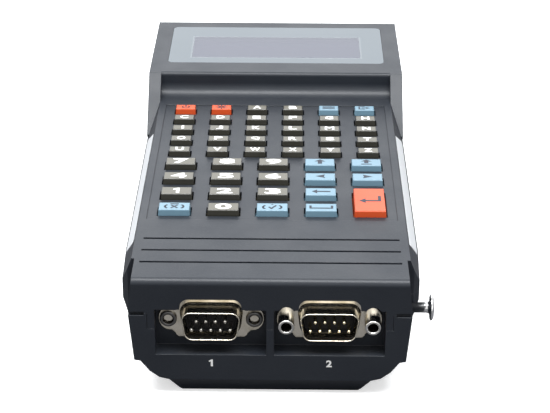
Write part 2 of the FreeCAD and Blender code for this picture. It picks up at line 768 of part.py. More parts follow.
    sketch = new_sketch(body, "TongueClear", "XZ_Plane")
    draw_rectangle(sketch, -S.tongue_half - S.window_clear, S.tongue_half + S.window_clear,
                   S.tongue_low, S.seam_high + S.overshoot)
    add_feature(body, "Pocket", sketch, "TongueSlot", panel_back)
    cut_ports(body, "Lower")
    sketch = new_sketch(body, "RevealSection", "XZ_Plane")
    both_sides(sketch, S.reveal_inner, S.nose_seam_half + S.overshoot,
               S.seam_high - S.reveal_high / 2, S.seam_high + S.overshoot)
    add_feature(body, "Pocket", sketch, "Reveal", S.reveal_deep)
    sketch = new_sketch(body, "StudBossSection", "YZ_Plane",
                        S.stud_seat - S.stud_boss_back)
    draw_circle(sketch, S.stud_at, S.stud_high, 2 * S.stud_radius)
    add_feature(body, "Pad", sketch, "StudBoss", S.stud_boss_long)
    sketch = new_sketch(body, "StudBoreSection", "YZ_Plane", S.stud_seat)
    draw_circle(sketch, S.stud_at, S.stud_high, S.stud_radius)
    add_feature(body, "Pocket", sketch, "StudBore", S.stud_reach - S.stud_seat, reverse=True)
    return sub_part(body, "lower_case")


def make_battery_lid():
    """The hinged section of the belly that closes the battery bay."""
    body = new_body("BatteryLid")
    outer = [(S.belly_half, S.belly_high), (S.rest_half, S.rest_bevel),
             (S.rest_half - S.rest_bevel, 0)]
    inner = [(S.rest_half - S.rest_bevel - S.lid_thick, S.lid_thick),
             (S.rest_half - S.lid_thick, S.lid_thick + S.lid_lip),
             (S.belly_half - S.lid_thick, S.belly_high)]
    left = [(-x, z) for x, z in reversed(outer)]
    inside_left = [(-x, z) for x, z in reversed(inner)]
    sketch = new_sketch(body, "LidSection", "XZ_Plane", -S.lid_start)
    draw_polygon(sketch, outer + left + inside_left + inner)
    wide_rear = S.hinge_at - S.knuckle_radius - S.lid_gap - S.lid_swing
    add_feature(body, "Pad", sketch, "LidPlate", wide_rear - S.lid_start, reverse=True)
    sketch = new_sketch(body, "LidTailPlan", "XY_Plane")
    draw_rectangle(sketch, -S.knuckle_half, S.knuckle_half, wide_rear - S.overshoot, S.hinge_at)
    add_feature(body, "Pad", sketch, "LidTail", S.lid_thick)
    sketch = new_sketch(body, "KnuckleSection", "YZ_Plane")
    draw_circle(sketch, S.hinge_at, S.hinge_high, S.knuckle_radius)
    add_feature(body, "Pad", sketch, "Knuckle", 2 * S.knuckle_half, midplane=True)
    sketch = new_sketch(body, "HingePinSection", "YZ_Plane")
    draw_circle(sketch, S.hinge_at, S.hinge_high, S.hinge_pin_radius)
    add_feature(body, "Pad", sketch, "HingePins",
                2 * (S.knuckle_half + S.lid_gap + S.hinge_pin_long), midplane=True)
    sketch = new_sketch(body, "LatchSection", "YZ_Plane")
    draw_polygon(sketch, [
        (S.lid_start - S.latch_long, S.latch_high), (S.lid_start + S.lid_thick, S.latch_high),
        (S.lid_start + S.lid_thick, S.latch_high + S.latch_thick),
        (S.lid_start - S.latch_long + S.latch_slope, S.latch_high + S.latch_thick)])
    add_feature(body, "Pad", sketch, "Latch", 2 * S.latch_half, midplane=True)
    sketch = new_sketch(body, "LatchRootSection", "YZ_Plane")
    draw_rectangle(sketch, S.lid_start, S.lid_start + S.lid_thick, S.latch_root_low,
                   S.latch_high + S.latch_thick)
    add_feature(body, "Pad", sketch, "LatchRoot", 2 * S.latch_half, midplane=True)
    return sub_part(body, "battery_lid")


# Pieces made from primitives and booleans

def box(name, x, y, z, wide, deep, tall):
    """A box from its lowest corner and its three sizes, Y counted from the front."""
    thing = doc.addObject("Part::Box", name)
    for prop, length in (("Length", wide), ("Width", deep), ("Height", tall)):
        tie(thing, prop, length)
    settle(thing, x, y - S.front_reach, z)
    return thing


def rod(name, x, y, z, radius, length, along=FreeCAD.Vector(0, 0, 1)):
    """A cylinder from the centre of its first face, along an axis."""
    thing = doc.addObject("Part::Cylinder", name)
    tie(thing, "Radius", radius)
    tie(thing, "Height", length)
    thing.Placement.Rotation = FreeCAD.Rotation(FreeCAD.Vector(0, 0, 1), along)
    settle(thing, x, y - S.front_reach, z)
    return thing


def fuse(name, things):
    """Joins solids into one."""
    joined = doc.addObject("Part::MultiFuse", name)
    joined.Shapes = things
    joined.Refine = True
    return joined


def cut(name, base, tool):
    """Takes one solid out of another."""
    left = doc.addObject("Part::Cut", name)
    left.Base = base
    left.Tool = tool
    return left


def group(name, things):
    """Keeps separate solids together in one sub-part."""
    together = doc.addObject("Part::Compound", name)
    together.Links = things
    return together


def make_key(label, x, y, wide, deep):
    """A hollow key cap with a flange that stops it under the deck."""
    tall = key_top - flange_top
    cap = doc.addObject("Part::Wedge", f"{label}_cap")
    for prop, length in (
            ("Xmin", -wide / 2), ("Xmax", wide / 2), ("Zmin", -deep / 2), ("Zmax", deep / 2),
            ("Ymin", 0), ("Ymax", tall),
            ("X2min", S.key_draft - wide / 2), ("X2max", wide / 2 - S.key_draft),
            ("Z2min", S.key_draft - deep / 2), ("Z2max", deep / 2 - S.key_draft)):
        tie(cap, prop, length)
    cap.Placement.Rotation = FreeCAD.Rotation(FreeCAD.Vector(1, 0, 0), 90)
    rim = doc.addObject("Part::Box", f"{label}_rim")
    tie(rim, "Length", wide + 2 * S.key_flange)
    tie(rim, "Width", deep + 2 * S.key_flange)
    tie(rim, "Height", S.key_flange)
    settle(rim, -wide / 2 - S.key_flange, -deep / 2 - S.key_flange, -S.key_flange)
    hollow = doc.addObject("Part::Box", f"{label}_hollow")
    tie(hollow, "Length", wide - 2 * S.key_skin)
    tie(hollow, "Width", deep - 2 * S.key_skin)
    tie(hollow, "Height", tall - S.key_skin + S.key_flange + S.overshoot)
    settle(hollow, S.key_skin - wide / 2, S.key_skin - deep / 2, -S.key_flange - S.overshoot)
    solid = cut(f"{label}_shell", fuse(f"{label}_outer", [cap, rim]), hollow)
    doc.recompute()
    edges = []
    for number, edge in enumerate(solid.Shape.Edges, start=1):
        if all(near(vertex.Z, tall) for vertex in edge.Vertexes):
            edges.append((number, S.key_edge.value, S.key_edge.value))
    key = doc.addObject("Part::Fillet", label)
    key.Base = solid
    key.Edges = edges
    settle(key, x, y - S.front_reach, flange_top)
    return sub_part(key, label)


SMALL_KEY_ROWS = [
    ["function_1", "function_2", "a", "b", "menu", "exit"],
    ["c", "d", "e", "f", "g", "h"],
    ["i", "j", "k", "l", "m", "n"],
    ["o", "p", "q", "r", "s", "t"],
    ["u", "v", "w", "x", "y", "z"],
]
BIG_KEY_ROWS = [
    ["7", "8", "9", "shift", "caps"],
    ["4", "5", "6", "left", "right"],
    ["1", "2", "3", "backspace", None],
    ["no", "0", "yes", "space", "enter"],
]


def make_keys():
    """All the keys, row by row from the display down to the connector end."""
    for row, names in enumerate(SMALL_KEY_ROWS):
        y = S.small_first_row + S.small_row_pitch * (KEY_ROWS_SMALL - 1 - row)
        for column, name in enumerate(names):
            x = centred(column, KEY_COLUMNS_SMALL, S.small_pitch)
            make_key(f"key_{name}", x, y, S.small_wide, S.small_deep)
    for row, names in enumerate(BIG_KEY_ROWS):
        y = S.big_first_row + S.big_row_pitch * (KEY_ROWS_BIG - 1 - row)
        for column, name in enumerate(names):
            x = centred(column, KEY_COLUMNS_BIG, S.big_pitch)
            if name == "enter":
                make_key("key_enter", x, y + S.big_row_pitch / 2, S.big_wide, enter_deep)
            elif name:
                make_key(f"key_{name}", x, y, S.big_wide, S.big_deep)


def make_key_mat():
    """The rubber sheet under the keys, with a stub that reaches into each cap."""
    body = new_body("KeyMat")
    sketch = new_sketch(body, "SheetPlan", "XY_Plane", S.board_top)
    draw_rectangle(sketch, -S.mat_half, S.mat_half, S.mat_start, S.mat_end)
    add_feature(body, "Pad", sketch, "Sheet", S.mat_thick)
    gap = S.key_skin + S.stub_clear
    low = mat_top - S.overlap
    sketch = new_sketch(body, "SmallStubPlan", "XY_Plane", low)
    half_x = S.small_wide / 2 - gap
    half_y = S.small_deep / 2 - gap
    draw_rectangle(sketch, small_first_x - half_x, small_first_x + half_x,
                   S.small_first_row - half_y, S.small_first_row + half_y)
    stub = add_feature(body, "Pad", sketch, "SmallStub", stub_top - low)
    pattern(body, stub, "SmallStubs", ("X_Axis", S.small_pitch, KEY_COLUMNS_SMALL),
            ("Y_Axis", S.small_row_pitch, KEY_ROWS_SMALL))
    sketch = new_sketch(body, "BigStubPlan", "XY_Plane", low)
    half_x = S.big_wide / 2 - gap
    half_y = S.big_deep / 2 - gap
    draw_rectangle(sketch, big_first_x - half_x, big_first_x + half_x,
                   S.big_first_row - half_y, S.big_first_row + half_y)
    stub = add_feature(body, "Pad", sketch, "BigStub", stub_top - low)
    pattern(body, stub, "BigStubs", ("X_Axis", S.big_pitch, KEY_COLUMNS_BIG),
            ("Y_Axis", S.big_row_pitch, KEY_ROWS_BIG))
    return sub_part(body, "key_mat")


# name, centre x, lowest y from the connector end, width, depth, height
CHIPS = [
    ("Processor", -14, 92, 22, 16, 2.4),
    ("Memory", 14, 92, 14, 20, 2.0),
    ("Clock", 0, 60, 8, 5, 1.8),
    ("Driver", -22, 56, 10, 8, 2.0),
]


def make_main_board():
    """The circuit board with its larger chips and the keypad contacts above it."""
    under = S.board_top - S.board_thick
    parts = [box("BoardSheet", -S.board_half, S.board_start, under, 2 * S.board_half,
                 S.board_end - S.board_start, S.board_thick)]
    for name, x, y, wide, deep, tall in CHIPS:
        parts.append(box(name, x - wide / 2, as_size(y), under - tall, wide, deep, tall))
    return sub_part(fuse("MainBoard", parts), "main_board")


def make_display_module():
    """The liquid crystal display on its own small board."""
    glass_half = S.view_half + S.module_margin
    front = S.view_start - S.module_margin
    deep = S.view_long + 2 * S.module_margin
    low = head_under - S.module_thick
    glass = box("DisplayGlass", -glass_half, front, low, 2 * glass_half, deep, S.module_thick)
    board = box("DisplayBoard", -S.module_board_half, front - S.module_board_margin,
                low - S.module_board_thick, 2 * S.module_board_half,
                deep + 2 * S.module_board_margin, S.module_board_thick)
    return sub_part(fuse("DisplayModule", [glass, board]), "display_module")


def make_window():
    """The clear window that lies flush in the top of the head."""
    body = new_body("DisplayWindow")
    sketch = new_sketch(body, "WindowPlan", "XY_Plane", S.head_high - S.window_thick)
    half = S.window_half - S.window_clear
    draw_rectangle(sketch, -half, half, S.window_start + S.window_clear,
                   S.window_start + S.window_long - S.window_clear)
    add_feature(body, "Pad", sketch, "Sheet", S.window_thick)
    round_edges(body, "Corners", S.window_round - S.window_clear, lambda middle, way: (
        abs(way.z) > 0.5))
    return sub_part(body, "display_window")


def d_outline(extra):
    """The D shape of a port shell, wider at the top, as a closed wire about zero."""
    half = S.shell_wide.value / 2 + extra
    tall = S.shell_high.value / 2 + extra
    slope = S.shell_slope.value
    corners = [FreeCAD.Vector(-half, 0, tall), FreeCAD.Vector(half, 0, tall),
               FreeCAD.Vector(half - slope, 0, -tall), FreeCAD.Vector(slope - half, 0, -tall)]
    return corners


def d_prism(x, y, extra, length):
    """A D shaped prism with rounded corners, running away from the front."""
    wire = Part.makePolygon(d_outline(extra) + d_outline(extra)[:1])
    prism = Part.Face(wire).extrude(FreeCAD.Vector(0, length, 0))
    long_edges = [edge for edge in prism.Edges
                  if near(edge.Vertexes[0].X - edge.Vertexes[1].X, 0)
                  and near(edge.Vertexes[0].Z - edge.Vertexes[1].Z, 0)]
    prism = prism.makeFillet(S.shell_round.value + extra - S.shell_skin.value, long_edges)
    prism.translate(FreeCAD.Vector(x, y, S.port_high.value))
    return prism


def make_port(x, jack_radius, jack_front):
    """One nine pin port as separate solids: shell with flange, insulator, pins, jacks."""
    face = S.port_face.value
    thick = S.flange_thick.value
    skin = S.shell_skin.value
    high = S.port_high.value
    spacing = S.screw_spacing.value
    forward = FreeCAD.Vector(0, 1, 0)
    plate = Part.makeBox(
        spacing - S.ear_high.value, thick, S.flange_high.value,
        FreeCAD.Vector(x - (spacing - S.ear_high.value) / 2, face - thick,
                       high - S.flange_high.value / 2))
    ears = Part.makeBox(spacing, thick, S.ear_high.value,
                        FreeCAD.Vector(x - spacing / 2, face - thick, high - S.ear_high.value / 2))
    metal = plate.fuse(ears)
    ear_round = (S.flange_wide.value - spacing) / 2
    for side in SIGNS:
        spot = FreeCAD.Vector(x + side * spacing / 2, face - thick, high)
        metal = metal.fuse(Part.makeCylinder(S.ear_high.value / 2, thick, spot, forward))
    trim = Part.makeBox(S.flange_wide.value, 2 * thick, S.flange_high.value,
                        FreeCAD.Vector(x - S.flange_wide.value / 2, face - 1.5 * thick,
                                       high - S.flange_high.value / 2))
    metal = metal.common(trim)
    metal = metal.fuse(d_prism(x, 0, skin, face))
    metal = metal.cut(d_prism(x, -1, 0, face + 2))
    jack_clear = S.hinge_clear.value
    solids = []
    for side in SIGNS:
        spot = FreeCAD.Vector(x + side * spacing / 2, face - thick - jack_front, high)
        length = jack_front + thick + S.thread_long.value
        jack = Part.makeCylinder(jack_radius, jack_front, spot, forward)
        neck = S.thread_radius.value + S.wall.value / 2
        jack = jack.fuse(Part.makeCylinder(neck, length, spot, forward))
        bore = Part.makeCylinder(S.thread_radius.value, length + 2,
                                 spot - FreeCAD.Vector(0, 1, 0), forward)
        solids.append(jack.cut(bore))
        metal = metal.cut(Part.makeCylinder(neck + jack_clear, 4 * thick,
                                            spot + FreeCAD.Vector(0, jack_front - thick, 0), forward))
    wide = S.plug_body_wide.value
    tall = S.plug_body_high.value
    body = Part.makeBox(wide, S.plug_body_long.value, tall,
                        FreeCAD.Vector(x - wide / 2, face, high - tall / 2))
    body = body.fuse(d_prism(x, face - thick, -jack_clear, 2 * thick))
    pins = []
    for row, count in ((-1, 5), (1, 4)):
        for index in range(count):
            spot = FreeCAD.Vector(x + (index - (count - 1) / 2) * S.pin_pitch.value,
                                  face - thick - S.pin_long.value, high + row * S.pin_row.value / 2)
            reach = S.pin_long.value + thick + S.plug_body_long.value + 2
            hole = Part.makeCylinder(S.pin_radius.value, reach, spot, forward)
            body = body.cut(hole)
            pins.append(hole)
    return [metal.removeSplitter(), body] + solids + pins


def make_serial_ports():
    """The two nine pin ports, kept as one group of separate solids."""
    left = make_port(-S.port_offset.value, S.insert_radius.value, S.insert_long.value)
    right = make_port(S.port_offset.value, S.standoff_radius.value, S.standoff_long.value)
    ports = doc.addObject("Part::Feature", "SerialPorts")
    ports.Shape = Part.makeCompound(left + right)
    settle(ports, 0, -S.front_reach, 0)
    return sub_part(ports, "serial_ports")


def make_strap_stud():
    """The turned metal stud on the right side that takes a strap."""
    body = new_body("StrapStud")
    sketch = new_sketch(body, "Profile", "XY_Plane")
    neck = S.stud_radius
    tip = S.stud_reach + S.stud_head_thick
    draw_polygon(sketch, [
        (S.stud_seat, 0), (S.stud_seat, neck), (S.stud_reach - S.stud_flare, neck),
        (S.stud_reach, neck + S.stud_flare), (S.stud_reach, S.stud_head_radius - S.stud_bevel),
        (S.stud_reach + S.stud_bevel, S.stud_head_radius),
        (tip - 2 * S.stud_bevel, S.stud_head_radius - S.stud_bevel),
        (tip - S.stud_dome, S.stud_head_radius / 2), (tip, 0)])
    turn = body.newObject("PartDesign::Revolution", "Turned")
    turn.Profile = sketch
    turn.ReferenceAxis = (origin_feature(body, "X_Axis"), [""])
    turn.Angle = 360
    settle(body, 0, S.stud_at - S.front_reach, S.stud_high)
    return sub_part(body, "strap_stud")


def make_case_screws():
    """Four screws driven up from below into the posts of the top shell."""
    screws = []
    for number, (x, y) in enumerate(screw_spots, start=1):
        head = rod(f"ScrewHead{number}", x, y, S.screw_seat - S.screw_head_high,
                   S.screw_head_radius, S.screw_head_high)
        shank = rod(f"ScrewShank{number}", x, y, S.screw_seat, S.screw_radius, S.screw_long)
        driven = fuse(f"Screw{number}", [head, shank])
        slot = box(f"ScrewSlot{number}", x - S.slot_long / 2, y - S.slot_wide / 2,
                   S.screw_seat - S.screw_head_high, S.slot_long, S.slot_wide, S.slot_deep)
        screws.append(cut(f"SlottedScrew{number}", driven, slot))
    return sub_part(group("CaseScrews", screws), "case_screws")


def make_batteries():
    """Four round cells side by side, alternately facing each way."""
    forward = FreeCAD.Vector(0, 1, 0)
    slack = (S.bay_long - S.cell_long - S.nub_long) / 2
    cells = []
    for index in range(4):
        x = centred(index, 4, S.cell_pitch)
        start = S.bay_start + slack
        can_start = start + (S.nub_long if index % 2 else 0)
        can = rod(f"Can{index}", x, can_start, S.cell_high, S.cell_radius, S.cell_long, forward)
        nub_start = start if index % 2 else start + S.cell_long
        nub = rod(f"Nub{index}", x, nub_start, S.cell_high, S.nub_radius, S.nub_long, forward)
        cells.append(fuse(f"Cell{index}", [can, nub]))
    return sub_part(group("Batteries", cells), "batteries")


make_upper_case()
make_lower_case()
make_battery_lid()
make_window()
make_display_module()
make_main_board()
make_key_mat()
make_serial_ports()
make_strap_stud()
make_case_screws()
make_batteries()
make_keys()
doc.recompute()

for thing in doc.Objects:
    if {"Invalid", "Error"} & set(thing.State):
        raise RuntimeError(f"{thing.Name} failed: {thing.State}")
for thing in SUB_PARTS:
    if thing.Shape.isNull() or not thing.Shape.isValid():
        raise RuntimeError(f"{thing.Label} has no valid shape")

os.makedirs("parts", exist_ok=True)
for thing in SUB_PARTS:
    thing.Shape.exportStep(f"parts/{thing.Label}.step")
print(len(SUB_PARTS), "sub-parts written")
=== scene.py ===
"""Looks of a handheld barcode data terminal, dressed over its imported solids.

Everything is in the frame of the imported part: X to the right, Y away from the
connector end, Z up from the flat belly that the terminal rests on. Sizes in the
classes below are in millimetres, as on the part's drawing, and become metres
when a mesh is built.
"""

import logging
import math
from collections.abc import Callable
from dataclasses import dataclass, field
from enum import Enum

import bmesh
import bpy
import numpy as np
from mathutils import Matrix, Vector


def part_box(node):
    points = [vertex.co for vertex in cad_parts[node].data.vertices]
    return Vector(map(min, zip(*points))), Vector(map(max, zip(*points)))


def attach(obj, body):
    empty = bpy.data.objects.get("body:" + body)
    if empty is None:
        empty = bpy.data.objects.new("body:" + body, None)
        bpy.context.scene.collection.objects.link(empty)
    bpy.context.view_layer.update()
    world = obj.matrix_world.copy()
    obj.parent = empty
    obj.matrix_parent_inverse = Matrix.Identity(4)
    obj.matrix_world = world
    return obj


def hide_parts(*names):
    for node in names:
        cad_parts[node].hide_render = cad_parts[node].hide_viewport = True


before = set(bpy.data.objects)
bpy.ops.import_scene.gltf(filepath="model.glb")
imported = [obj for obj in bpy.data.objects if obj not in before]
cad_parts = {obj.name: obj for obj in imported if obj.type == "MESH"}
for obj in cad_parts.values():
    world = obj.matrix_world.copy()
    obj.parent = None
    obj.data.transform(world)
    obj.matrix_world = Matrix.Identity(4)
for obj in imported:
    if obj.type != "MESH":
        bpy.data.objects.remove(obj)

LOG = logging.getLogger("terminal")
MM = 0.001
Colour = tuple[float, float, float]
Point = tuple[float, float]
Place = tuple[float, float, float]
Socket = bpy.types.NodeSocket
Node = bpy.types.Node
NodeTree = bpy.types.NodeTree
Material = bpy.types.Material
# radius that closes a turned profile at its axis, in millimetres
AXIS = 0.01
# points on each curve of a character
FONT_STEPS = 6
# letters that are narrower or wider than the rest
LETTER_WIDTHS = {"i": 0.3, "j": 0.85, "m": 1.12, "w": 1.2}


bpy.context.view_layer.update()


class Side(Enum):
    """The two sides of the terminal, with the sign of X there."""

    LEFT = -1
    RIGHT = 1


class KeyKind(Enum):
    """The three colours of key, named as their material slots."""

    DARK = "key_dark"
    BLUE = "key_blue"
    ORANGE = "key_orange"


class Slot(Enum):
    """Names of three material slots: the case, the port metal and the stud chrome."""

    CASE = "case"
    PORT = "port_metal"
    STUD = "stud_chrome"


@dataclass(frozen=True)
class PlasticFinish:
    """Look of a moulded plastic or rubber.

    Attributes:
        name: Name of the material.
        colour: Main colour, linear.
        worn: Colour of the rubbed edges, linear.
        roughness: Mean roughness.
        specular: Strength of the clear reflection.
        grain: Cells of the moulded grain per metre.
        relief: Strength of the grain.
        edge: Radius of the softened edges, in millimetres.
        dust: How much dust lies in the grain of upward faces.
        top: Colour of the upward faces, linear, where it differs: painted light, lighter where the
            overhead light falls on them.
    """

    name: str
    colour: Colour
    worn: Colour
    roughness: float = 0.5
    specular: float = 0.4
    grain: float = 2600.0
    relief: float = 0.12
    edge: float = 0.3
    dust: float = 0.0
    top: Colour | None = None


@dataclass(frozen=True)
class MetalFinish:
    """Look of a plated or bare metal.

    Attributes:
        name: Name of the material.
        colour: Reflected colour, linear.
        tarnish: Colour of the duller patches, linear.
        roughness: Mean roughness.
        patches: Patches of tarnish per metre.
        edge: Radius of the softened edges, in millimetres.
    """

    name: str
    colour: Colour
    tarnish: Colour
    roughness: float = 0.2
    patches: float = 220.0
    edge: float = 0.12


CASE = PlasticFinish("case_plastic", (0.0115, 0.0148, 0.021), (0.05, 0.055, 0.065),
                     roughness=0.42, specular=0.4, relief=0.5, dust=0.03)
# The dark keys' top colour is painted light: their upward faces are coloured lighter where the
# overhead light falls.
DARK_KEY = PlasticFinish("dark_key_plastic", (0.03, 0.028, 0.02), (0.09, 0.085, 0.07),
                         roughness=0.3, specular=0.9, relief=0.06, edge=0.25,
                         top=(0.085, 0.076, 0.05))
BLUE_KEY = PlasticFinish("blue_key_plastic", (0.14, 0.25, 0.325), (0.34, 0.48, 0.56),
                         roughness=0.32, specular=0.7, relief=0.06, edge=0.25)
ORANGE_KEY = PlasticFinish("orange_key_plastic", (0.6, 0.07, 0.013), (0.74, 0.22, 0.1),
                           roughness=0.36, specular=0.5, relief=0.06, edge=0.25)
KEY_RUBBER = PlasticFinish("mat_rubber", (0.03, 0.03, 0.033), (0.07, 0.07, 0.075),
                           roughness=0.8, specular=0.25, relief=0.1, edge=0.4)
# The strips are real pieces; their near-white colour is painted reflection of the bright
# surroundings seen on the steep sides.
GRIP = PlasticFinish("grip_rubber", (0.84, 0.86, 0.88), (0.9, 0.91, 0.92),
                     roughness=0.5, specular=0.5, grain=1500.0, relief=0.3, dust=0.03)
INSULATOR = PlasticFinish("port_insulator", (0.007, 0.007, 0.009), (0.03, 0.03, 0.035),
                          roughness=0.42, specular=0.2, relief=0.05, edge=0.05)
WHITE_INK = PlasticFinish("white_legend", (0.86, 0.86, 0.84), (0.9, 0.9, 0.88),
                          roughness=0.45, specular=0.3, relief=0.02, edge=0.02)
GREY_INK = PlasticFinish("grey_legend", (0.035, 0.04, 0.055), (0.06, 0.065, 0.08),
                         roughness=0.5, specular=0.25, relief=0.02, edge=0.02)
SHELL_METAL = MetalFinish("port_shell_plate", (0.86, 0.80, 0.68), (0.62, 0.55, 0.42),
                          roughness=0.2)
PIN_METAL = MetalFinish("pin_plate", (0.92, 0.84, 0.6), (0.7, 0.6, 0.38), roughness=0.16,
                        edge=0.05)
DULL_PIN_METAL = MetalFinish("dull_pin_plate", (0.5, 0.48, 0.44), (0.3, 0.29, 0.27),
                             roughness=0.3, edge=0.05)
JACK_METAL = MetalFinish("jack_nickel", (0.78, 0.77, 0.74), (0.5, 0.49, 0.46), roughness=0.22)
DARK_JACK_METAL = MetalFinish("dark_jack", (0.16, 0.155, 0.15), (0.08, 0.08, 0.078),
                              roughness=0.34)
# The bores are coloured near black: painted shade for the shadow down inside the threaded holes.
SHADED_BORE_METAL = MetalFinish("jack_bore_painted_shade", (0.05, 0.045, 0.042), (0.02, 0.019, 0.018), roughness=0.4)
STUD_METAL = MetalFinish("stud_chrome_plate", (0.88, 0.88, 0.88), (0.6, 0.6, 0.6),
                         roughness=0.1, patches=120.0)
SCREW_METAL = MetalFinish("screw_plate", (0.5, 0.5, 0.5), (0.28, 0.27, 0.25), roughness=0.35)


@dataclass
class CaseSizes:
    """Places on the case that several pieces share, in millimetres."""

    front: float = -96.0
    deck_top: float = 38.0
    key_top: float = 39.5
    seam: float = 27.0
    deck_half: float = 40.5
    waist_half: float = 44.8
    chip_top: float = 29.35

    @property
    def slant(self) -> np.ndarray:
        """How far the slanted side spreads out and falls."""
        return np.array([self.waist_half - self.deck_half, self.deck_top - self.seam])


@dataclass
class GripSizes:
    """The rubber strips on the slanted sides, measured down the slant and from the front."""

    margin: float = 1.52
    top_start: float = 25.7
    top_end: float = 105.8
    low_start: float = 34.7
    low_end: float = 118.7
    depth: float = 0.58
    proud: float = 0.06
    edge: float = 0.22
    corner: float = 0.8
    corner_steps: int = 5


@dataclass
class PortSizes:
    """One nine pin port, measured from its centre and from the front of the case."""

    centre_x: float = 17.1
    centre_z: float = 22.7
    inner_wide: float = 16.92
    inner_high: float = 8.36
    slope: float = 1.4
    corner: float = 2.2
    least_corner: float = 0.3
    skin: float = 0.4
    flange_front: float = 5.2
    flange_back: float = 6.0
    flange_wide: float = 30.81
    flange_high: float = 12.55
    flange_middle: float = 20.9
    ear_high: float = 8.0
    ear_round: float = 3.2
    ear_steps: int = 14
    neck: float = 1.1
    flange_cut: float = 0.8
    taper: float = 0.4
    jack_spacing: float = 24.99
    bore: float = 1.42
    thread_pitch: float = 0.7
    thread_deep: float = 0.09
    thread_long: float = 3.5
    thread_steps: int = 60
    standoff: float = 2.35
    standoff_front: float = 0.02
    insert: float = 2.5
    insert_front: float = 4.3
    pin_radius: float = 0.5
    pin_front: float = 0.25
    pin_pitch: float = 2.77
    pin_row: float = 2.84
    tip_steps: int = 6
    pin_steps: int = 20
    corner_steps: int = 8
    round_steps: int = 28


@dataclass
class StudSizes:
    """The turned strap stud, measured along X from the middle of the case."""

    y: float = -85.0
    z: float = 23.6
    start: float = 41.0
    neck: float = 1.55
    flare: float = 45.7
    shoulder: float = 46.5
    head: float = 3.86
    tip: float = 47.76
    steps: int = 64


@dataclass
class LegendSizes:
    """Sizes of the characters and icons on the keys, and of the ports' numbers."""

    small: Point = (2.8, 2.6)
    big: Point = (5.0, 3.7)
    big_key: float = 10.0
    lift: float = 0.02
    layer: float = 0.004
    curve_points: int = 6
    line_cap: float = 0.9
    curve_cap: float = 0.15
    weight: float = 0.036
    port_high: float = 2.3
    port_wide: float = 1.7
    port_z: float = 10.8


@dataclass
class DisplaySizes:
    """The clear view in the window and the display behind it."""

    view_half: float = 30.5
    view_start: float = 57.5
    view_end: float = 78.3
    corner: float = 0.6
    glass_low: float = 39.7
    cell_wide: float = 2.95
    cell_high: float = 4.9


@dataclass
class LightBox:
    """One soft studio light.

    Attributes:
        name: Name of the lamp.
        place: Where it stands, in metres.
        aim: The point that it faces, in metres.
        wide: Width of its face, in metres.
        high: Height of its face, in metres.
        power: Power in watts.
        colour: Colour of its light.
    """

    name: str
    place: Place
    aim: Place
    wide: float
    high: float
    power: float
    colour: Colour = (1.0, 1.0, 1.0)


LIGHTS = [
    LightBox("rear_box", (0.0, 0.62, 0.42), (0.0, 0.0, 0.03), 1.2, 0.62, 2.8, (0.88, 0.93, 1.0)),
    LightBox("top_box", (-0.03, -0.19, 0.65), (0.0, -0.04, 0.02), 0.8, 0.26, 9.0,
             (0.96, 0.98, 1.0)),
    LightBox("front_fill", (0.3, -0.95, 0.5), (0.0, -0.05, 0.02), 0.8, 0.4, 0.9),
]


# Meshes


class Surface:
    """A mesh under construction, made of numpy points and index faces."""

    def __init__(self) -> None:
        self.points: list[np.ndarray] = []
        self.faces: list[list[int]] = []
        self.count = 0

    def add_points(self, points: np.ndarray) -> int:
        """Stores points.

        Args:
            points: Array of shape (n, 3), in millimetres.

        Returns:
            Index of the first stored point.
        """
        start = self.count
        self.points.append(np.asarray(points, float).reshape(-1, 3))
        self.count += len(self.points[-1])
        return start

    def add_grid(self, grid: np.ndarray, wrap: bool = True) -> None:
        """Joins rows of points with four sided faces.

        Face (i, j) has the corners (i, j), (i, j+1), (i+1, j+1), (i+1, j).

        Args:
            grid: Array of shape (rows, columns, 3), in millimetres.
            wrap: Whether the last column joins the first.
        """
        rows, columns = grid.shape[:2]
        start = self.add_points(grid)
        index = start + np.arange(rows * columns).reshape(rows, columns)
        if wrap:
            index = np.concatenate([index, index[:, :1]], axis=1)
        faces = np.stack([index[:-1, :-1], index[:-1, 1:], index[1:, 1:], index[1:, :-1]], -1)
        self.faces += faces.reshape(-1, 4).tolist()

    def add_solid(self, rows: np.ndarray) -> None:
        """Joins rows of points, and closes the first and the last row.

        Args:
            rows: Array of shape (rows, columns, 3), in millimetres.
        """
        self.add_grid(rows)
        self.add_face(rows[0])
        self.add_face(rows[-1])

    def add_face(self, loop: np.ndarray) -> None:
        """Adds one flat face.

        Args:
            loop: Corner points in order, in millimetres.
        """
        start = self.add_points(loop)
        self.faces.append(list(range(start, start + len(loop))))

    def build(self, name: str, material: Material, closed: bool = True,
              smooth: bool = True) -> bpy.types.Object:
        """Makes the object, its place in its vertices and its normals outward.

        Args:
            name: Name of the piece.
            material: Its look.
            closed: Whether the mesh encloses its volume, so its faces can be turned outward.
            smooth: Whether its faces shade smoothly.

        Returns:
            The new object, linked to the scene.
        """
        mesh = bpy.data.meshes.new(name)
        mesh.from_pydata((np.concatenate(self.points) * MM).tolist(), [], self.faces)
        work = bmesh.new()
        work.from_mesh(mesh)
        bmesh.ops.remove_doubles(work, verts=work.verts, dist=1e-7)
        if closed:
            bmesh.ops.recalc_face_normals(work, faces=work.faces)
        work.to_mesh(mesh)
        work.free()
        mesh.polygons.foreach_set("use_smooth", np.full(len(mesh.polygons), smooth))
        mesh.materials.append(material)
        thing = bpy.data.objects.new(name, mesh)
        bpy.context.scene.collection.objects.link(thing)
        LOG.info("%s: %d faces", name, len(mesh.polygons))
        return thing


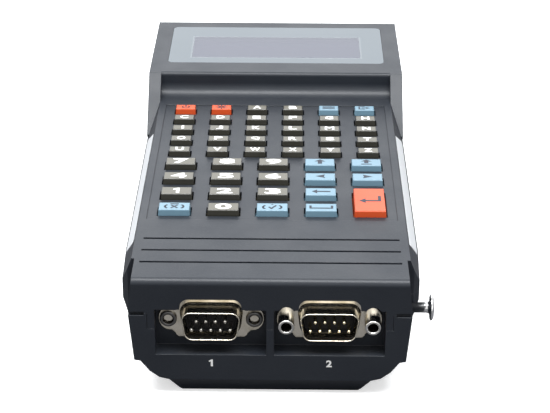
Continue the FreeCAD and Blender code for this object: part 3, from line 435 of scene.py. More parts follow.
def rounded_loop(corners: np.ndarray, radius: float, steps: int) -> np.ndarray:
    """Rounds the corners of a convex outline that runs anticlockwise.

    At a corner c between unit edges a (in) and b (out) with turn angle t, the arc
    starts at c - a*r*tan(t/2), and its points are m + r*(cos, sin) round the
    centre m = c - a*r*tan(t/2) + r*n, where n is a turned left by a right angle.

    Args:
        corners: Array of shape (n, 2).
        radius: Radius of each corner.
        steps: Points per corner.

    Returns:
        Array of shape (n * steps, 2).
    """
    incoming = corners - np.roll(corners, 1, axis=0)
    incoming /= np.linalg.norm(incoming, axis=1, keepdims=True)
    outgoing = np.roll(incoming, -1, axis=0)
    cross = incoming[:, 0] * outgoing[:, 1] - incoming[:, 1] * outgoing[:, 0]
    turn = np.arctan2(cross, (incoming * outgoing).sum(1))
    reach = radius * np.tan(turn / 2)
    left = np.stack([-incoming[:, 1], incoming[:, 0]], 1)
    middle = corners - incoming * reach[:, None] + left * radius
    first = np.arctan2(-left[:, 1], -left[:, 0])
    angle = first[:, None] + turn[:, None] * np.linspace(0, 1, steps)[None]
    arc = np.stack([np.cos(angle), np.sin(angle)], -1) * radius
    return (middle[:, None] + arc).reshape(-1, 2)


def lathe(profile: np.ndarray, steps: int) -> np.ndarray:
    """Turns a profile about an axis.

    Point (i, j) is (along_i, r_i * cos(a_j), r_i * sin(a_j)) with a_j = 2 pi j / steps.

    Args:
        profile: Array of shape (n, 2) of place along the axis and radius.
        steps: Points round the axis.

    Returns:
        Array of shape (n, steps, 3): place along the axis, then the two across it.
    """
    angle = np.linspace(0, 2 * math.pi, steps, endpoint=False)
    along = np.repeat(profile[:, :1], steps, axis=1)
    across = profile[:, 1:2] * np.cos(angle)[None]
    up = profile[:, 1:2] * np.sin(angle)[None]
    return np.stack([along, across, up], -1)


# Shader groups and materials


class Tree:
    """Adds and joins nodes in the node tree of a material or a group."""

    def __init__(self, tree: NodeTree) -> None:
        self.tree = tree

    def node(self, kind: str, inputs: dict[str | int, object] | None = None,
             **settings: object) -> Node:
        """Adds a node.

        Args:
            kind: Node type name.
            inputs: What its inputs take, by their name or number.
            **settings: Properties to set on it.

        Returns:
            The node.
        """
        node = self.tree.nodes.new(kind)
        for name, value in settings.items():
            setattr(node, name, value)
        for socket, value in (inputs or {}).items():
            self.feed(node, socket, value)
        return node

    def feed(self, node: Node, socket: str | int, value: object) -> None:
        """Links an output to a socket, or sets a constant on the socket itself.

        Args:
            node: Node that takes the value.
            socket: Name or number of its input.
            value: An output socket, a number or a colour.
        """
        target = node.inputs[socket]
        if isinstance(value, Socket):
            self.tree.links.new(value, target)
        elif isinstance(value, tuple) and len(value) == 3 and target.type == "RGBA":
            target.default_value = (*value, 1.0)
        else:
            target.default_value = value

    def math(self, operation: str, first: object, second: object = 0.0,
             clamp: bool = False) -> Socket:
        """Adds a math node.

        Args:
            operation: Name of the operation.
            first: First value or socket.
            second: Second value or socket.
            clamp: Whether the result stays from 0 to 1.

        Returns:
            Its result.
        """
        return self.node("ShaderNodeMath", {0: first, 1: second}, operation=operation,
                         use_clamp=clamp).outputs[0]

    def ramp(self, value: object, low: float, high: float, low_to: float = 0.0,
             high_to: float = 1.0) -> Socket:
        """Maps a value linearly from one range to another, clamped.

        Args:
            value: Value or socket.
            low: Start of the range.
            high: End of the range.
            low_to: Result at the start.
            high_to: Result at the end.

        Returns:
            The mapped value.
        """
        inputs = {"Value": value, "From Min": low, "From Max": high, "To Min": low_to,
                  "To Max": high_to}
        return self.node("ShaderNodeMapRange", inputs).outputs["Result"]

    def blend(self, amount: object, first: object, second: object) -> Socket:
        """Mixes two colours.

        Args:
            amount: How much of the second, from 0 to 1.
            first: First colour or socket.
            second: Second colour or socket.

        Returns:
            The mixed colour.
        """
        inputs = {0: amount, 6: first, 7: second}
        return self.node("ShaderNodeMix", inputs, data_type="RGBA").outputs[2]

    def noise(self, scale: object, detail: float = 3.0) -> Socket:
        """Adds noise over the object's own coordinates.

        Args:
            scale: Cells per metre, as a value or socket.
            detail: How many finer layers it has.

        Returns:
            The noise, from 0 to 1.
        """
        inputs = {"Vector": self.place(), "Scale": scale, "Detail": detail}
        return self.node("ShaderNodeTexNoise", inputs).outputs["Fac"]

    def place(self) -> Socket:
        """Gives the object's own coordinates, in metres.

        Returns:
            The coordinate socket.
        """
        return self.node("ShaderNodeTexCoord").outputs["Object"]

    def axes(self) -> tuple[Socket, ...]:
        """Splits the object's own coordinates.

        Returns:
            The X, Y and Z sockets.
        """
        return tuple(self.node("ShaderNodeSeparateXYZ", {0: self.place()}).outputs)

    def facing(self) -> tuple[Socket, ...]:
        """Splits the normal of the surface.

        Returns:
            The X, Y and Z sockets.
        """
        normal = self.node("ShaderNodeNewGeometry").outputs["Normal"]
        return tuple(self.node("ShaderNodeSeparateXYZ", {0: normal}).outputs)

    def inside(self, value: object, low: float, high: float,
               soft: float = 0.05) -> Socket:
        """Marks where a length lies between two limits, given in millimetres.

        Args:
            value: Length in metres.
            low: Lower limit.
            high: Upper limit.
            soft: Width of the change.

        Returns:
            A mask from 0 to 1.
        """
        above = self.ramp(value, (low - soft) * MM, (low + soft) * MM)
        below = self.ramp(value, (high - soft) * MM, (high + soft) * MM, 1.0, 0.0)
        return self.math("MULTIPLY", above, below)


@dataclass
class GroupSocket:
    """One input or output of a shader group."""

    name: str
    kind: str = "NodeSocketFloat"
    value: float | None = None


def new_group(name: str, inputs: list[GroupSocket],
              outputs: list[GroupSocket]) -> tuple[Tree, Node, Node]:
    """Starts a shader group.

    Args:
        name: Name of the group.
        inputs: Its inputs.
        outputs: Its outputs.

    Returns:
        Its tree, and its input and output nodes.
    """
    tree = bpy.data.node_groups.new(name, "ShaderNodeTree")
    for sockets, way in ((inputs, "INPUT"), (outputs, "OUTPUT")):
        for socket in sockets:
            made = tree.interface.new_socket(socket.name, in_out=way, socket_type=socket.kind)
            if socket.value is not None:
                made.default_value = socket.value
    wrap = Tree(tree)
    return wrap, wrap.node("NodeGroupInput"), wrap.node("NodeGroupOutput")


def moulded_grain_group() -> NodeTree:
    """Makes the group that softens edges and adds a moulded grain.

    Returns:
        The group, with outputs for the normal and the worn edges.
    """
    tree, entry, leave = new_group(
        "MouldedGrain",
        [GroupSocket("Grain Scale", value=2600.0), GroupSocket("Relief", value=0.1),
         GroupSocket("Edge Radius", value=0.0003)],
        [GroupSocket("Normal", "NodeSocketVector"), GroupSocket("Edge")])
    soft = tree.node("ShaderNodeBevel", {"Radius": entry.outputs["Edge Radius"]}, samples=6)
    soft_normal = soft.outputs["Normal"]
    bump = tree.node("ShaderNodeBump", {
        "Strength": entry.outputs["Relief"], "Distance": 0.00006,
        "Height": tree.noise(entry.outputs["Grain Scale"], 2.0), "Normal": soft_normal})
    face_normal = tree.node("ShaderNodeNewGeometry").outputs["Normal"]
    dot = tree.node("ShaderNodeVectorMath", {0: soft_normal, 1: face_normal},
                    operation="DOT_PRODUCT")
    edge = tree.ramp(dot.outputs["Value"], 0.96, 0.8)
    patchy = tree.math("MULTIPLY", edge, tree.ramp(tree.noise(160.0), 0.42, 0.62))
    tree.feed(leave, "Normal", bump.outputs["Normal"])
    tree.feed(leave, "Edge", patchy)
    return tree.tree


def settled_dust_group() -> NodeTree:
    """Makes the group that marks dust on faces that look up.

    Returns:
        The group, with one mask output.
    """
    tree, entry, leave = new_group(
        "SettledDust", [GroupSocket("Amount", value=0.1), GroupSocket("Patch Scale", value=60.0)],
        [GroupSocket("Mask")])
    upward = tree.ramp(tree.facing()[2], 0.6, 0.98)
    patches = tree.ramp(tree.noise(entry.outputs["Patch Scale"], 6.0), 0.38, 0.7)
    specks = tree.ramp(tree.noise(3200.0, 1.0), 0.55, 0.75)
    spread = tree.math("ADD", tree.math("MULTIPLY", patches, 0.5), specks)
    shown = tree.math("MULTIPLY", tree.math("MULTIPLY", spread, upward),
                      entry.outputs["Amount"], clamp=True)
    tree.feed(leave, "Mask", shown)
    return tree.tree


def smudge_group() -> NodeTree:
    """Makes the group that varies roughness as handling does.

    Returns:
        The group, with one value output.
    """
    tree, entry, leave = new_group(
        "HandSmudges",
        [GroupSocket("Roughness", value=0.4), GroupSocket("Spread", value=0.1),
         GroupSocket("Patch Scale", value=90.0)],
        [GroupSocket("Roughness")])
    swing = tree.math("SUBTRACT", tree.noise(entry.outputs["Patch Scale"], 4.0), 0.5)
    swing = tree.math("MULTIPLY", swing, tree.math("MULTIPLY", entry.outputs["Spread"], 2.0))
    tree.feed(leave, "Roughness", tree.math("ADD", entry.outputs["Roughness"], swing, clamp=True))
    return tree.tree


class Workshop:
    """Makes each material once and keeps the shader groups that they share."""

    def __init__(self) -> None:
        self.grain = moulded_grain_group()
        self.dust = settled_dust_group()
        self.smudge = smudge_group()
        self.made: dict[str, Material] = {}

    def start(self, name: str) -> tuple[Material, Tree, Node]:
        """Starts a material with one main shader.

        Args:
            name: Name of the material.

        Returns:
            The material, its tree and its main shader.
        """
        material = bpy.data.materials.new(name)
        material.use_nodes = True
        material.node_tree.nodes.clear()
        tree = Tree(material.node_tree)
        shader = tree.node("ShaderNodeBsdfPrincipled")
        tree.node("ShaderNodeOutputMaterial", {"Surface": shader.outputs["BSDF"]})
        self.made[name] = material
        return material, tree, shader

    def use(self, tree: Tree, group: NodeTree, **values: object) -> Node:
        """Places a shared group in a material.

        Args:
            tree: Tree of the material.
            group: The group.
            **values: Its inputs, with underscores for spaces.

        Returns:
            The group's node.
        """
        inputs = {name.replace("_", " "): value for name, value in values.items()}
        return tree.node("ShaderNodeGroup", inputs, node_tree=group)

    def coat(self, tree: Tree, shader: Node, scale: float, relief: float,
             edge: float) -> Socket:
        """Gives a shader its grain and its softened edges.

        Args:
            tree: Tree of the material.
            shader: Its main shader.
            scale: Cells of the grain per metre.
            relief: Strength of the grain.
            edge: Radius of the softened edges, in millimetres.

        Returns:
            A mask of the worn edges.
        """
        grain = self.use(tree, self.grain, Grain_Scale=scale, Relief=relief, Edge_Radius=edge * MM)
        tree.feed(shader, "Normal", grain.outputs["Normal"])
        return grain.outputs["Edge"]

    def handle(self, tree: Tree, shader: Node, mean: float, spread: float,
               **more: object) -> None:
        """Gives a shader the uneven roughness of a handled thing.

        Args:
            tree: Tree of the material.
            shader: Its main shader.
            mean: Mean roughness.
            spread: How far it swings.
            **more: Other inputs of the group.
        """
        smudge = self.use(tree, self.smudge, Roughness=mean, Spread=spread, **more)
        tree.feed(shader, "Roughness", smudge.outputs["Roughness"])

    def plastic(self, finish: PlasticFinish) -> Material:
        """Makes a moulded plastic or rubber.

        Args:
            finish: Its look.

        Returns:
            The material.
        """
        if finish.name in self.made:
            return self.made[finish.name]
        material, tree, shader = self.start(finish.name)
        worn = self.coat(tree, shader, finish.grain, finish.relief, finish.edge)
        self.handle(tree, shader, finish.roughness, 0.09)
        tone = tree.ramp(tree.noise(38.0, 5.0), 0.3, 0.7, 0.0, 0.12)
        colour = finish.colour
        # Painted light: faces that look up take the lighter top colour, where the overhead light
        # falls.
        if finish.top:
            upward = tree.ramp(tree.facing()[2], 0.9, 0.98)
            colour = tree.blend(upward, finish.colour, finish.top)
        colour = tree.blend(tone, colour, finish.worn)
        colour = tree.blend(tree.math("MULTIPLY", worn, 0.45), colour, finish.worn)
        if finish.dust:
            dust = self.use(tree, self.dust, Amount=finish.dust)
            colour = tree.blend(dust.outputs["Mask"], colour, (0.55, 0.54, 0.5))
        tree.feed(shader, "Base Color", colour)
        tree.feed(shader, "Specular IOR Level", finish.specular)
        return material

    def metal(self, finish: MetalFinish) -> Material:
        """Makes a plated metal with duller patches.

        Args:
            finish: Its look.

        Returns:
            The material.
        """
        if finish.name in self.made:
            return self.made[finish.name]
        material, tree, shader = self.start(finish.name)
        self.coat(tree, shader, 1400.0, 0.03, finish.edge)
        self.handle(tree, shader, finish.roughness, 0.08, Patch_Scale=finish.patches)
        patch = tree.ramp(tree.noise(finish.patches, 5.0), 0.45, 0.75)
        tree.feed(shader, "Base Color", tree.blend(patch, finish.colour, finish.tarnish))
        tree.feed(shader, "Metallic", 1.0)
        return material

    def circuit_board(self, case: CaseSizes) -> Material:
        """Makes the green board with copper tracks, and dark chips below it.

        Args:
            case: Heights that part the chips from the board.

        Returns:
            The material.
        """
        material, tree, shader = self.start("circuit_board_green")
        x, y, z = tree.axes()
        bend = tree.math("MULTIPLY", tree.noise(90.0, 1.0), 0.006)
        stripe = tree.math("PINGPONG", tree.math("ADD", x, bend), 0.0006)
        track = tree.ramp(stripe, 0.00022, 0.0003)
        field_mask = tree.ramp(tree.noise(70.0, 2.0), 0.48, 0.52)
        track = tree.math("MULTIPLY", track, field_mask)
        board = tree.blend(track, (0.012, 0.12, 0.045), (0.05, 0.26, 0.09))
        chip = tree.ramp(z, (case.chip_top - 0.05) * MM, (case.chip_top + 0.05) * MM, 1.0, 0.0)
        tree.feed(shader, "Base Color", tree.blend(chip, board, (0.018, 0.018, 0.02)))
        tree.feed(shader, "Roughness", tree.ramp(chip, 0.0, 1.0, 0.35, 0.6))
        self.coat(tree, shader, 1800.0, 0.08, 0.2)
        return material

    def display(self, sizes: DisplaySizes) -> Material:
        """Makes the display: grey glass with faint character cells, on a green board.

        Args:
            sizes: Places of the glass and its cells.

        Returns:
            The material.
        """
        material, tree, shader = self.start("display_glass_and_board")
        x, y, z = tree.axes()
        across = tree.math("PINGPONG", x, sizes.cell_wide * MM / 2)
        along = tree.math("PINGPONG", tree.math("SUBTRACT", y, sizes.view_start * MM),
                          sizes.cell_high * MM / 2)
        cell = tree.math("MULTIPLY", tree.ramp(across, 0.00015, 0.0003),
                         tree.ramp(along, 0.0003, 0.0006))
        wide = tree.inside(tree.math("ABSOLUTE", x), -1, sizes.view_half - 2.0)
        long = tree.inside(y, sizes.view_start + 1.0, sizes.view_end - 1.0)
        cell = tree.math("MULTIPLY", cell, tree.math("MULTIPLY", wide, long))
        cloud = tree.ramp(tree.noise(45.0, 3.0), 0.3, 0.7, 0.0, 0.25)
        glass = tree.blend(cloud, (0.27, 0.29, 0.4), (0.3, 0.32, 0.43))
        glass = tree.blend(tree.math("MULTIPLY", cell, 0.1), glass, (0.21, 0.23, 0.33))
        board = tree.ramp(z, (sizes.glass_low - 0.05) * MM, (sizes.glass_low + 0.05) * MM,
                          1.0, 0.0)
        tree.feed(shader, "Base Color", tree.blend(board, glass, (0.012, 0.12, 0.045)))
        tree.feed(shader, "Roughness", tree.ramp(tree.noise(120.0), 0.3, 0.7, 0.3, 0.34))
        tree.feed(shader, "Specular IOR Level", 0.2)
        self.coat(tree, shader, 900.0, 0.005, 0.2)
        return material

    def window(self, sizes: DisplaySizes) -> Material:
        """Makes the window sheet: a grey printed border round a clear view, with a painted
        highlight along the edge of the view.

        Args:
            sizes: Place of the clear view.

        Returns:
            The material.
        """
        material, tree, shader = self.start("window_sheet")
        leave = next(n for n in tree.tree.nodes if n.type == "OUTPUT_MATERIAL")
        x, y, _ = tree.axes()
        wide = tree.inside(tree.math("ABSOLUTE", x), -1, sizes.view_half)
        long = tree.inside(y, sizes.view_start, sizes.view_end)
        clear = tree.math("MULTIPLY", wide, long)
        # Painted highlight: a lighter band just round the clear view stands in for the light that
        # its bevelled edge catches.
        rim_wide = tree.inside(tree.math("ABSOLUTE", x), -1, sizes.view_half + sizes.corner)
        rim_long = tree.inside(y, sizes.view_start - sizes.corner, sizes.view_end + sizes.corner)
        rim = tree.math("MULTIPLY", rim_wide, rim_long)
        tone = tree.ramp(tree.noise(50.0, 4.0), 0.3, 0.7, 0.0, 0.3)
        paint = tree.blend(tone, (0.092, 0.114, 0.13), (0.118, 0.14, 0.156))
        # The lighter colour of the painted highlight round the view.
        paint = tree.blend(tree.math("MULTIPLY", rim, 0.2), paint, (0.3, 0.33, 0.35))
        paint = tree.blend(clear, paint, (0.1, 0.107, 0.15))
        tree.feed(shader, "Base Color", paint)
        self.handle(tree, shader, 0.16, 0.08)
        shine = tree.node("ShaderNodeBsdfGlossy", {"Color": (1.0, 1.0, 1.0), "Roughness": 0.06})
        through = tree.node("ShaderNodeBsdfTransparent", {"Color": (0.93, 0.95, 0.95)})
        bend = tree.node("ShaderNodeFresnel", {"IOR": 1.48})
        glass = tree.node("ShaderNodeMixShader", {
            0: bend.outputs[0], 1: through.outputs[0], 2: shine.outputs[0]})
        whole = tree.node("ShaderNodeMixShader", {
            0: tree.math("MULTIPLY", clear, 0.45), 1: shader.outputs[0], 2: glass.outputs[0]})
        tree.feed(leave, "Surface", whole.outputs[0])
        return material

    def cell_wrap(self) -> Material:
        """Makes the wrap of the round cells, with a band and bare metal ends.

        Returns:
            The material.
        """
        material, tree, shader = self.start("cell_wrap_bands")
        _, y, _ = tree.axes()
        band = tree.math("PINGPONG", y, 0.0125)
        band = tree.ramp(band, 0.0085, 0.0087)
        scuff = tree.ramp(tree.noise(300.0, 4.0), 0.62, 0.7, 0.0, 0.4)
        colour = tree.blend(band, (0.03, 0.05, 0.11), (0.55, 0.42, 0.16))
        colour = tree.blend(scuff, colour, (0.3, 0.3, 0.3))
        end = tree.ramp(tree.math("ABSOLUTE", tree.facing()[1]), 0.7, 0.8)
        tree.feed(shader, "Base Color", tree.blend(end, colour, (0.6, 0.6, 0.6)))
        tree.feed(shader, "Metallic", end)
        tree.feed(shader, "Roughness", tree.ramp(tree.noise(200.0), 0.3, 0.7, 0.28, 0.4))
        return material


# Key legends


@dataclass
class Icon:
    """A plain picture that stands in for a word.

    Attributes:
        strokes: Lines as lists of points, in units of half the icon's size.
        fills: Filled outlines that run anticlockwise, in the same units.
        wide: Width in millimetres.
        high: Height in millimetres.
        line: Width of its lines in millimetres.
        shift: How far it sits above the middle of the key, in millimetres.
    """

    strokes: list[list[Point]] = field(default_factory=list)
    fills: list[list[Point]] = field(default_factory=list)
    wide: float = 2.6
    high: float = 2.2
    line: float = 0.42
    shift: float = 0.0


def arc_points(x: float, y: float, radius: float, start: float, end: float,
               steps: int = 20) -> list[Point]:
    """Gives points on an arc: (x + r cos a, y + r sin a).

    Args:
        x: Centre.
        y: Centre.
        radius: Radius.
        start: First angle in degrees.
        end: Last angle in degrees.
        steps: How many points.

    Returns:
        The points.
    """
    angle = np.radians(np.linspace(start, end, steps))
    return list(zip((x + radius * np.cos(angle)).tolist(), (y + radius * np.sin(angle)).tolist()))


BRACKETS = [arc_points(0.55, 0.0, 1.5, 148, 212, 8), arc_points(-0.55, 0.0, 1.5, -32, 32, 8)]
SUN_RAYS = [[(0.62 * math.cos(a), 0.62 * math.sin(a)), (math.cos(a), math.sin(a))]
            for a in np.radians(range(0, 360, 45)).tolist()]

ICONS = {
    "function_1": Icon([arc_points(0, -0.1, 0.8, 125, 415), [(0, 0.05), (0, 1.0)]],
                       wide=3.0, high=2.6, line=0.5),
    "function_2": Icon([arc_points(0, 0, 0.34, 0, 360), *SUN_RAYS], wide=3.6, high=3.0,
                       line=0.45),
    "menu": Icon([[(-1, 0.8), (1, 0.8)], [(-1, 0), (1, 0)], [(-1, -0.8), (1, -0.8)]],
                 wide=3.8, high=2.1, line=0.5),
    "exit": Icon([[(-0.05, 1), (-1, 1), (-1, -1), (-0.05, -1)], [(-0.4, 0), (0.6, 0)]],
                 [[(0.35, -0.7), (1.05, 0), (0.35, 0.7)]], wide=3.6, high=2.1, line=0.48),
    "shift": Icon([], [[(-0.38, -1), (0.38, -1), (0.38, 0.05), (1, 0.05), (0, 1),
                        (-1, 0.05), (-0.38, 0.05)]], wide=3.6, high=3.4, shift=0.2),
    "caps": Icon([[(-0.8, -1), (0.8, -1)]],
                 [[(-0.38, -0.55), (0.38, -0.55), (0.38, 0.2), (1, 0.2), (0, 1.05),
                   (-1, 0.2), (-0.38, 0.2)]], wide=3.6, high=3.4, line=0.55, shift=0.2),
    "left": Icon([], [[(1, -0.9), (0.72, 0), (1, 0.9), (-1, 0)]], wide=3.1, high=3.0,
                 shift=0.15),
    "right": Icon([], [[(-1, -0.9), (1, 0), (-1, 0.9), (-0.72, 0)]], wide=3.1, high=3.0,
                  shift=0.15),
    "backspace": Icon([[(-0.5, 0), (1, 0)]], [[(-1.05, 0), (-0.42, -0.9), (-0.42, 0.9)]],
                      wide=5.4, high=3.0, line=0.75),
    "no": Icon([*BRACKETS, [(-0.28, -0.6), (0.28, 0.6)], [(-0.28, 0.6), (0.28, -0.6)],
                [(-0.35, 1.25), (0.35, 1.25)]], wide=6.0, high=2.9, line=0.6, shift=-0.35),
    "yes": Icon([*BRACKETS, [(-0.3, 0.0), (-0.08, -0.6), (0.34, 0.7)]],
                [[(-0.16, 1.15), (0.16, 1.15), (0, 1.55)]], wide=6.0, high=2.9, line=0.6,
                shift=-0.35),
    "space": Icon([[(-1, 0.6), (-1, -0.6), (1, -0.6), (1, 0.6)]], wide=6.6, high=2.4, line=0.7),
    "enter": Icon([[(1, 1), (1, -0.35), (-0.5, -0.35)]],
                  [[(-1.05, -0.35), (-0.4, -1.1), (-0.4, 0.4)]],
                  wide=6.2, high=4.4, line=0.95),
}
ONE = [(-0.1, -1.0), (0.62, -1.0), (0.62, 1.0), (0.12, 1.0), (-0.75, 0.62), (-0.75, 0.2),
       (-0.1, 0.42)]
ICONS["1"] = Icon([], [ONE], wide=2.9, high=3.5)

ORANGE_KEYS = ("function_1", "function_2", "enter")
BLUE_KEYS = ("menu", "exit", "shift", "caps", "left", "right", "backspace", "no", "yes", "space")


def kind_of(key: str) -> KeyKind:
    """Says which colour a key has.

    Args:
        key: Name of the key without its prefix.

    Returns:
        Its kind.
    """
    if key in ORANGE_KEYS:
        return KeyKind.ORANGE
    return KeyKind.BLUE if key in BLUE_KEYS else KeyKind.DARK


def character_outline(text: str, weight: float) -> tuple[np.ndarray, list[list[int]]]:
    """Turns one letter or digit into flat faces.

    Args:
        text: The character.
        weight: How much its strokes are thickened, as a share of its size.

    Returns:
        Its points scaled to reach from -1 to 1 both ways, and its faces.
    """
    curve = bpy.data.curves.new("character", "FONT")
    curve.body = text
    curve.offset = weight
    curve.resolution_u = FONT_STEPS
    maker = bpy.data.objects.new("character", curve)
    mesh = maker.to_mesh()
    points = np.empty(len(mesh.vertices) * 3)
    mesh.vertices.foreach_get("co", points)
    points = points.reshape(-1, 3)[:, :2]
    faces = [list(polygon.vertices) for polygon in mesh.polygons]
    maker.to_mesh_clear()
    bpy.data.objects.remove(maker)
    bpy.data.curves.remove(curve)
    low, high = points.min(0), points.max(0)
    return (points - (low + high) / 2) / ((high - low) / 2), faces


class Legend:
    """The mark printed on one key."""

    def __init__(self, key: str, sizes: LegendSizes, case: CaseSizes, shop: Workshop) -> None:
        self.key = key
        self.sizes = sizes
        self.case = case
        self.shop = shop
        self.surface = Surface()
        low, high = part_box(f"key_{key}")
        self.centre = np.array([(low[0] + high[0]) / 2, (low[1] + high[1]) / 2]) / MM
        self.is_big = (high[0] - low[0]) / MM > sizes.big_key

    def place(self, flat: np.ndarray, layer: int = 0) -> np.ndarray:
        """Lifts flat points onto the key's top.

        A point (u, v) goes to (centre x + u, centre y + v, key_top + lift + n * layer),
        where n is the number of its layer.

        Args:
            flat: Array of shape (n, 2) about the key's middle, in millimetres.
            layer: Which layer it is, so layers don't share a plane.

        Returns:
            Array of shape (n, 3).
        """
        height = self.case.key_top + self.sizes.lift + self.sizes.layer * layer
        level = np.full((len(flat), 1), height)
        return np.concatenate([flat + self.centre, level], axis=1)

    def draw_character(self) -> None:
        """Adds the letter or digit."""
        wide, high = self.sizes.big if self.is_big else self.sizes.small
        narrow = LETTER_WIDTHS.get(self.key, 1.0)
        points, faces = character_outline(self.key.upper(), self.sizes.weight)
        start = self.surface.add_points(self.place(points * [wide * narrow / 2, high / 2]))
        self.surface.faces += [[start + corner for corner in face] for face in faces]

    def draw_icon(self, icon: Icon) -> None:
        """Adds the icon: each line segment becomes a rectangle of the line's width.

        A segment from p to q with unit direction d and normal n has the corners
        p - dc - nw, q + dc - nw, q + dc + nw and p - dc + nw, where w is half the
        width of the line and c is line_cap times w. A curve's short segments have
        curve_cap times w instead and share a layer.

        Args:
            icon: The icon.
        """
        scale = np.array([icon.wide / 2, icon.high / 2])
        shift = np.array([0.0, icon.shift])
        for number, fill in enumerate(icon.fills):
            self.surface.add_face(self.place(np.array(fill) * scale + shift, number))
        layer = len(icon.fills)
        for stroke in icon.strokes:
            path = np.array(stroke) * scale + shift
            is_line = len(path) < self.sizes.curve_points
            start, end = path[:-1], path[1:]
            way = end - start
            way /= np.linalg.norm(way, axis=1, keepdims=True)
            side = np.stack([-way[:, 1], way[:, 0]], 1) * (icon.line / 2)
            reach = self.sizes.line_cap if is_line else self.sizes.curve_cap
            cap = way * (icon.line / 2 * reach)
            corners = np.stack([start - cap - side, end + cap - side,
                                end + cap + side, start - cap + side], 1)
            for quad in corners:
                self.surface.add_face(self.place(quad, layer))
                layer += is_line

    def build(self) -> None:
        """Makes the legend and lets it ride on its key."""
        kind = kind_of(self.key)
        ink = WHITE_INK if kind is KeyKind.DARK else GREY_INK
        if self.key in ICONS:
            self.draw_icon(ICONS[self.key])
        else:
            self.draw_character()
        legend = self.surface.build(f"legend_{self.key}", self.shop.plastic(ink), closed=False,
                                    smooth=False)
        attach(legend, f"key_{self.key}")


# Fixed pieces


@dataclass
class SideGrip:
    """A rubber strip that lies in the recess on one slanted side of the deck."""

    side: Side
    sizes: GripSizes
    case: CaseSizes
    shop: Workshop

    def to_side(self, down: np.ndarray, along: np.ndarray, out: float) -> np.ndarray:
        """Places points given on the slanted side.

        A point is top + down * t + out * n, with the top edge at (sign * deck_half,
        deck_top), t the unit vector down the slant and n the outward normal.

        Args:
            down: Distance down the slant.
            along: Distance from the front of the case.
            out: Distance out of the slanted face.

        Returns:
            Array of shape (n, 3), in millimetres.
        """
        case = self.case
        spread, fall = case.slant / math.hypot(*case.slant)
        x = self.side.value * (case.deck_half + down * spread + out * fall)
        z = case.deck_top - down * fall + out * spread
        return np.stack([x, along + case.front, z], -1)

    def build(self) -> None:
        """Makes the strip: stacked outlines, drawn in towards its rounded top edge.

        The row at angle a is the outline drawn in by edge * (1 - cos a), at the
        height proud - edge * (1 - sin a) over the slanted face.
        """
        sizes = self.sizes
        low = math.hypot(*self.case.slant) - sizes.margin
        corners = np.array([(sizes.margin, sizes.top_start), (low, sizes.low_start),
                            (low, sizes.low_end), (sizes.margin, sizes.top_end)])
        outline = rounded_loop(corners, sizes.corner, sizes.corner_steps)
        middle = corners.mean(0)
        half = np.abs(outline - middle).max(0)
        rows = [self.to_side(outline[:, 0], outline[:, 1], -sizes.depth)]
        for angle in np.radians([0, 30, 60, 90]):
            inset = sizes.edge * (1 - math.cos(angle))
            out = sizes.proud - sizes.edge * (1 - math.sin(angle))
            shrunk = middle + (outline - middle) * (1 - inset / half)
            rows.append(self.to_side(shrunk[:, 0], shrunk[:, 1], out))
        surface = Surface()
        surface.add_solid(np.stack(rows))
        name = f"side_grip_{self.side.name.lower()}"
        grip = surface.build(name, self.shop.plastic(GRIP), smooth=False)
        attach(grip, "terminal")


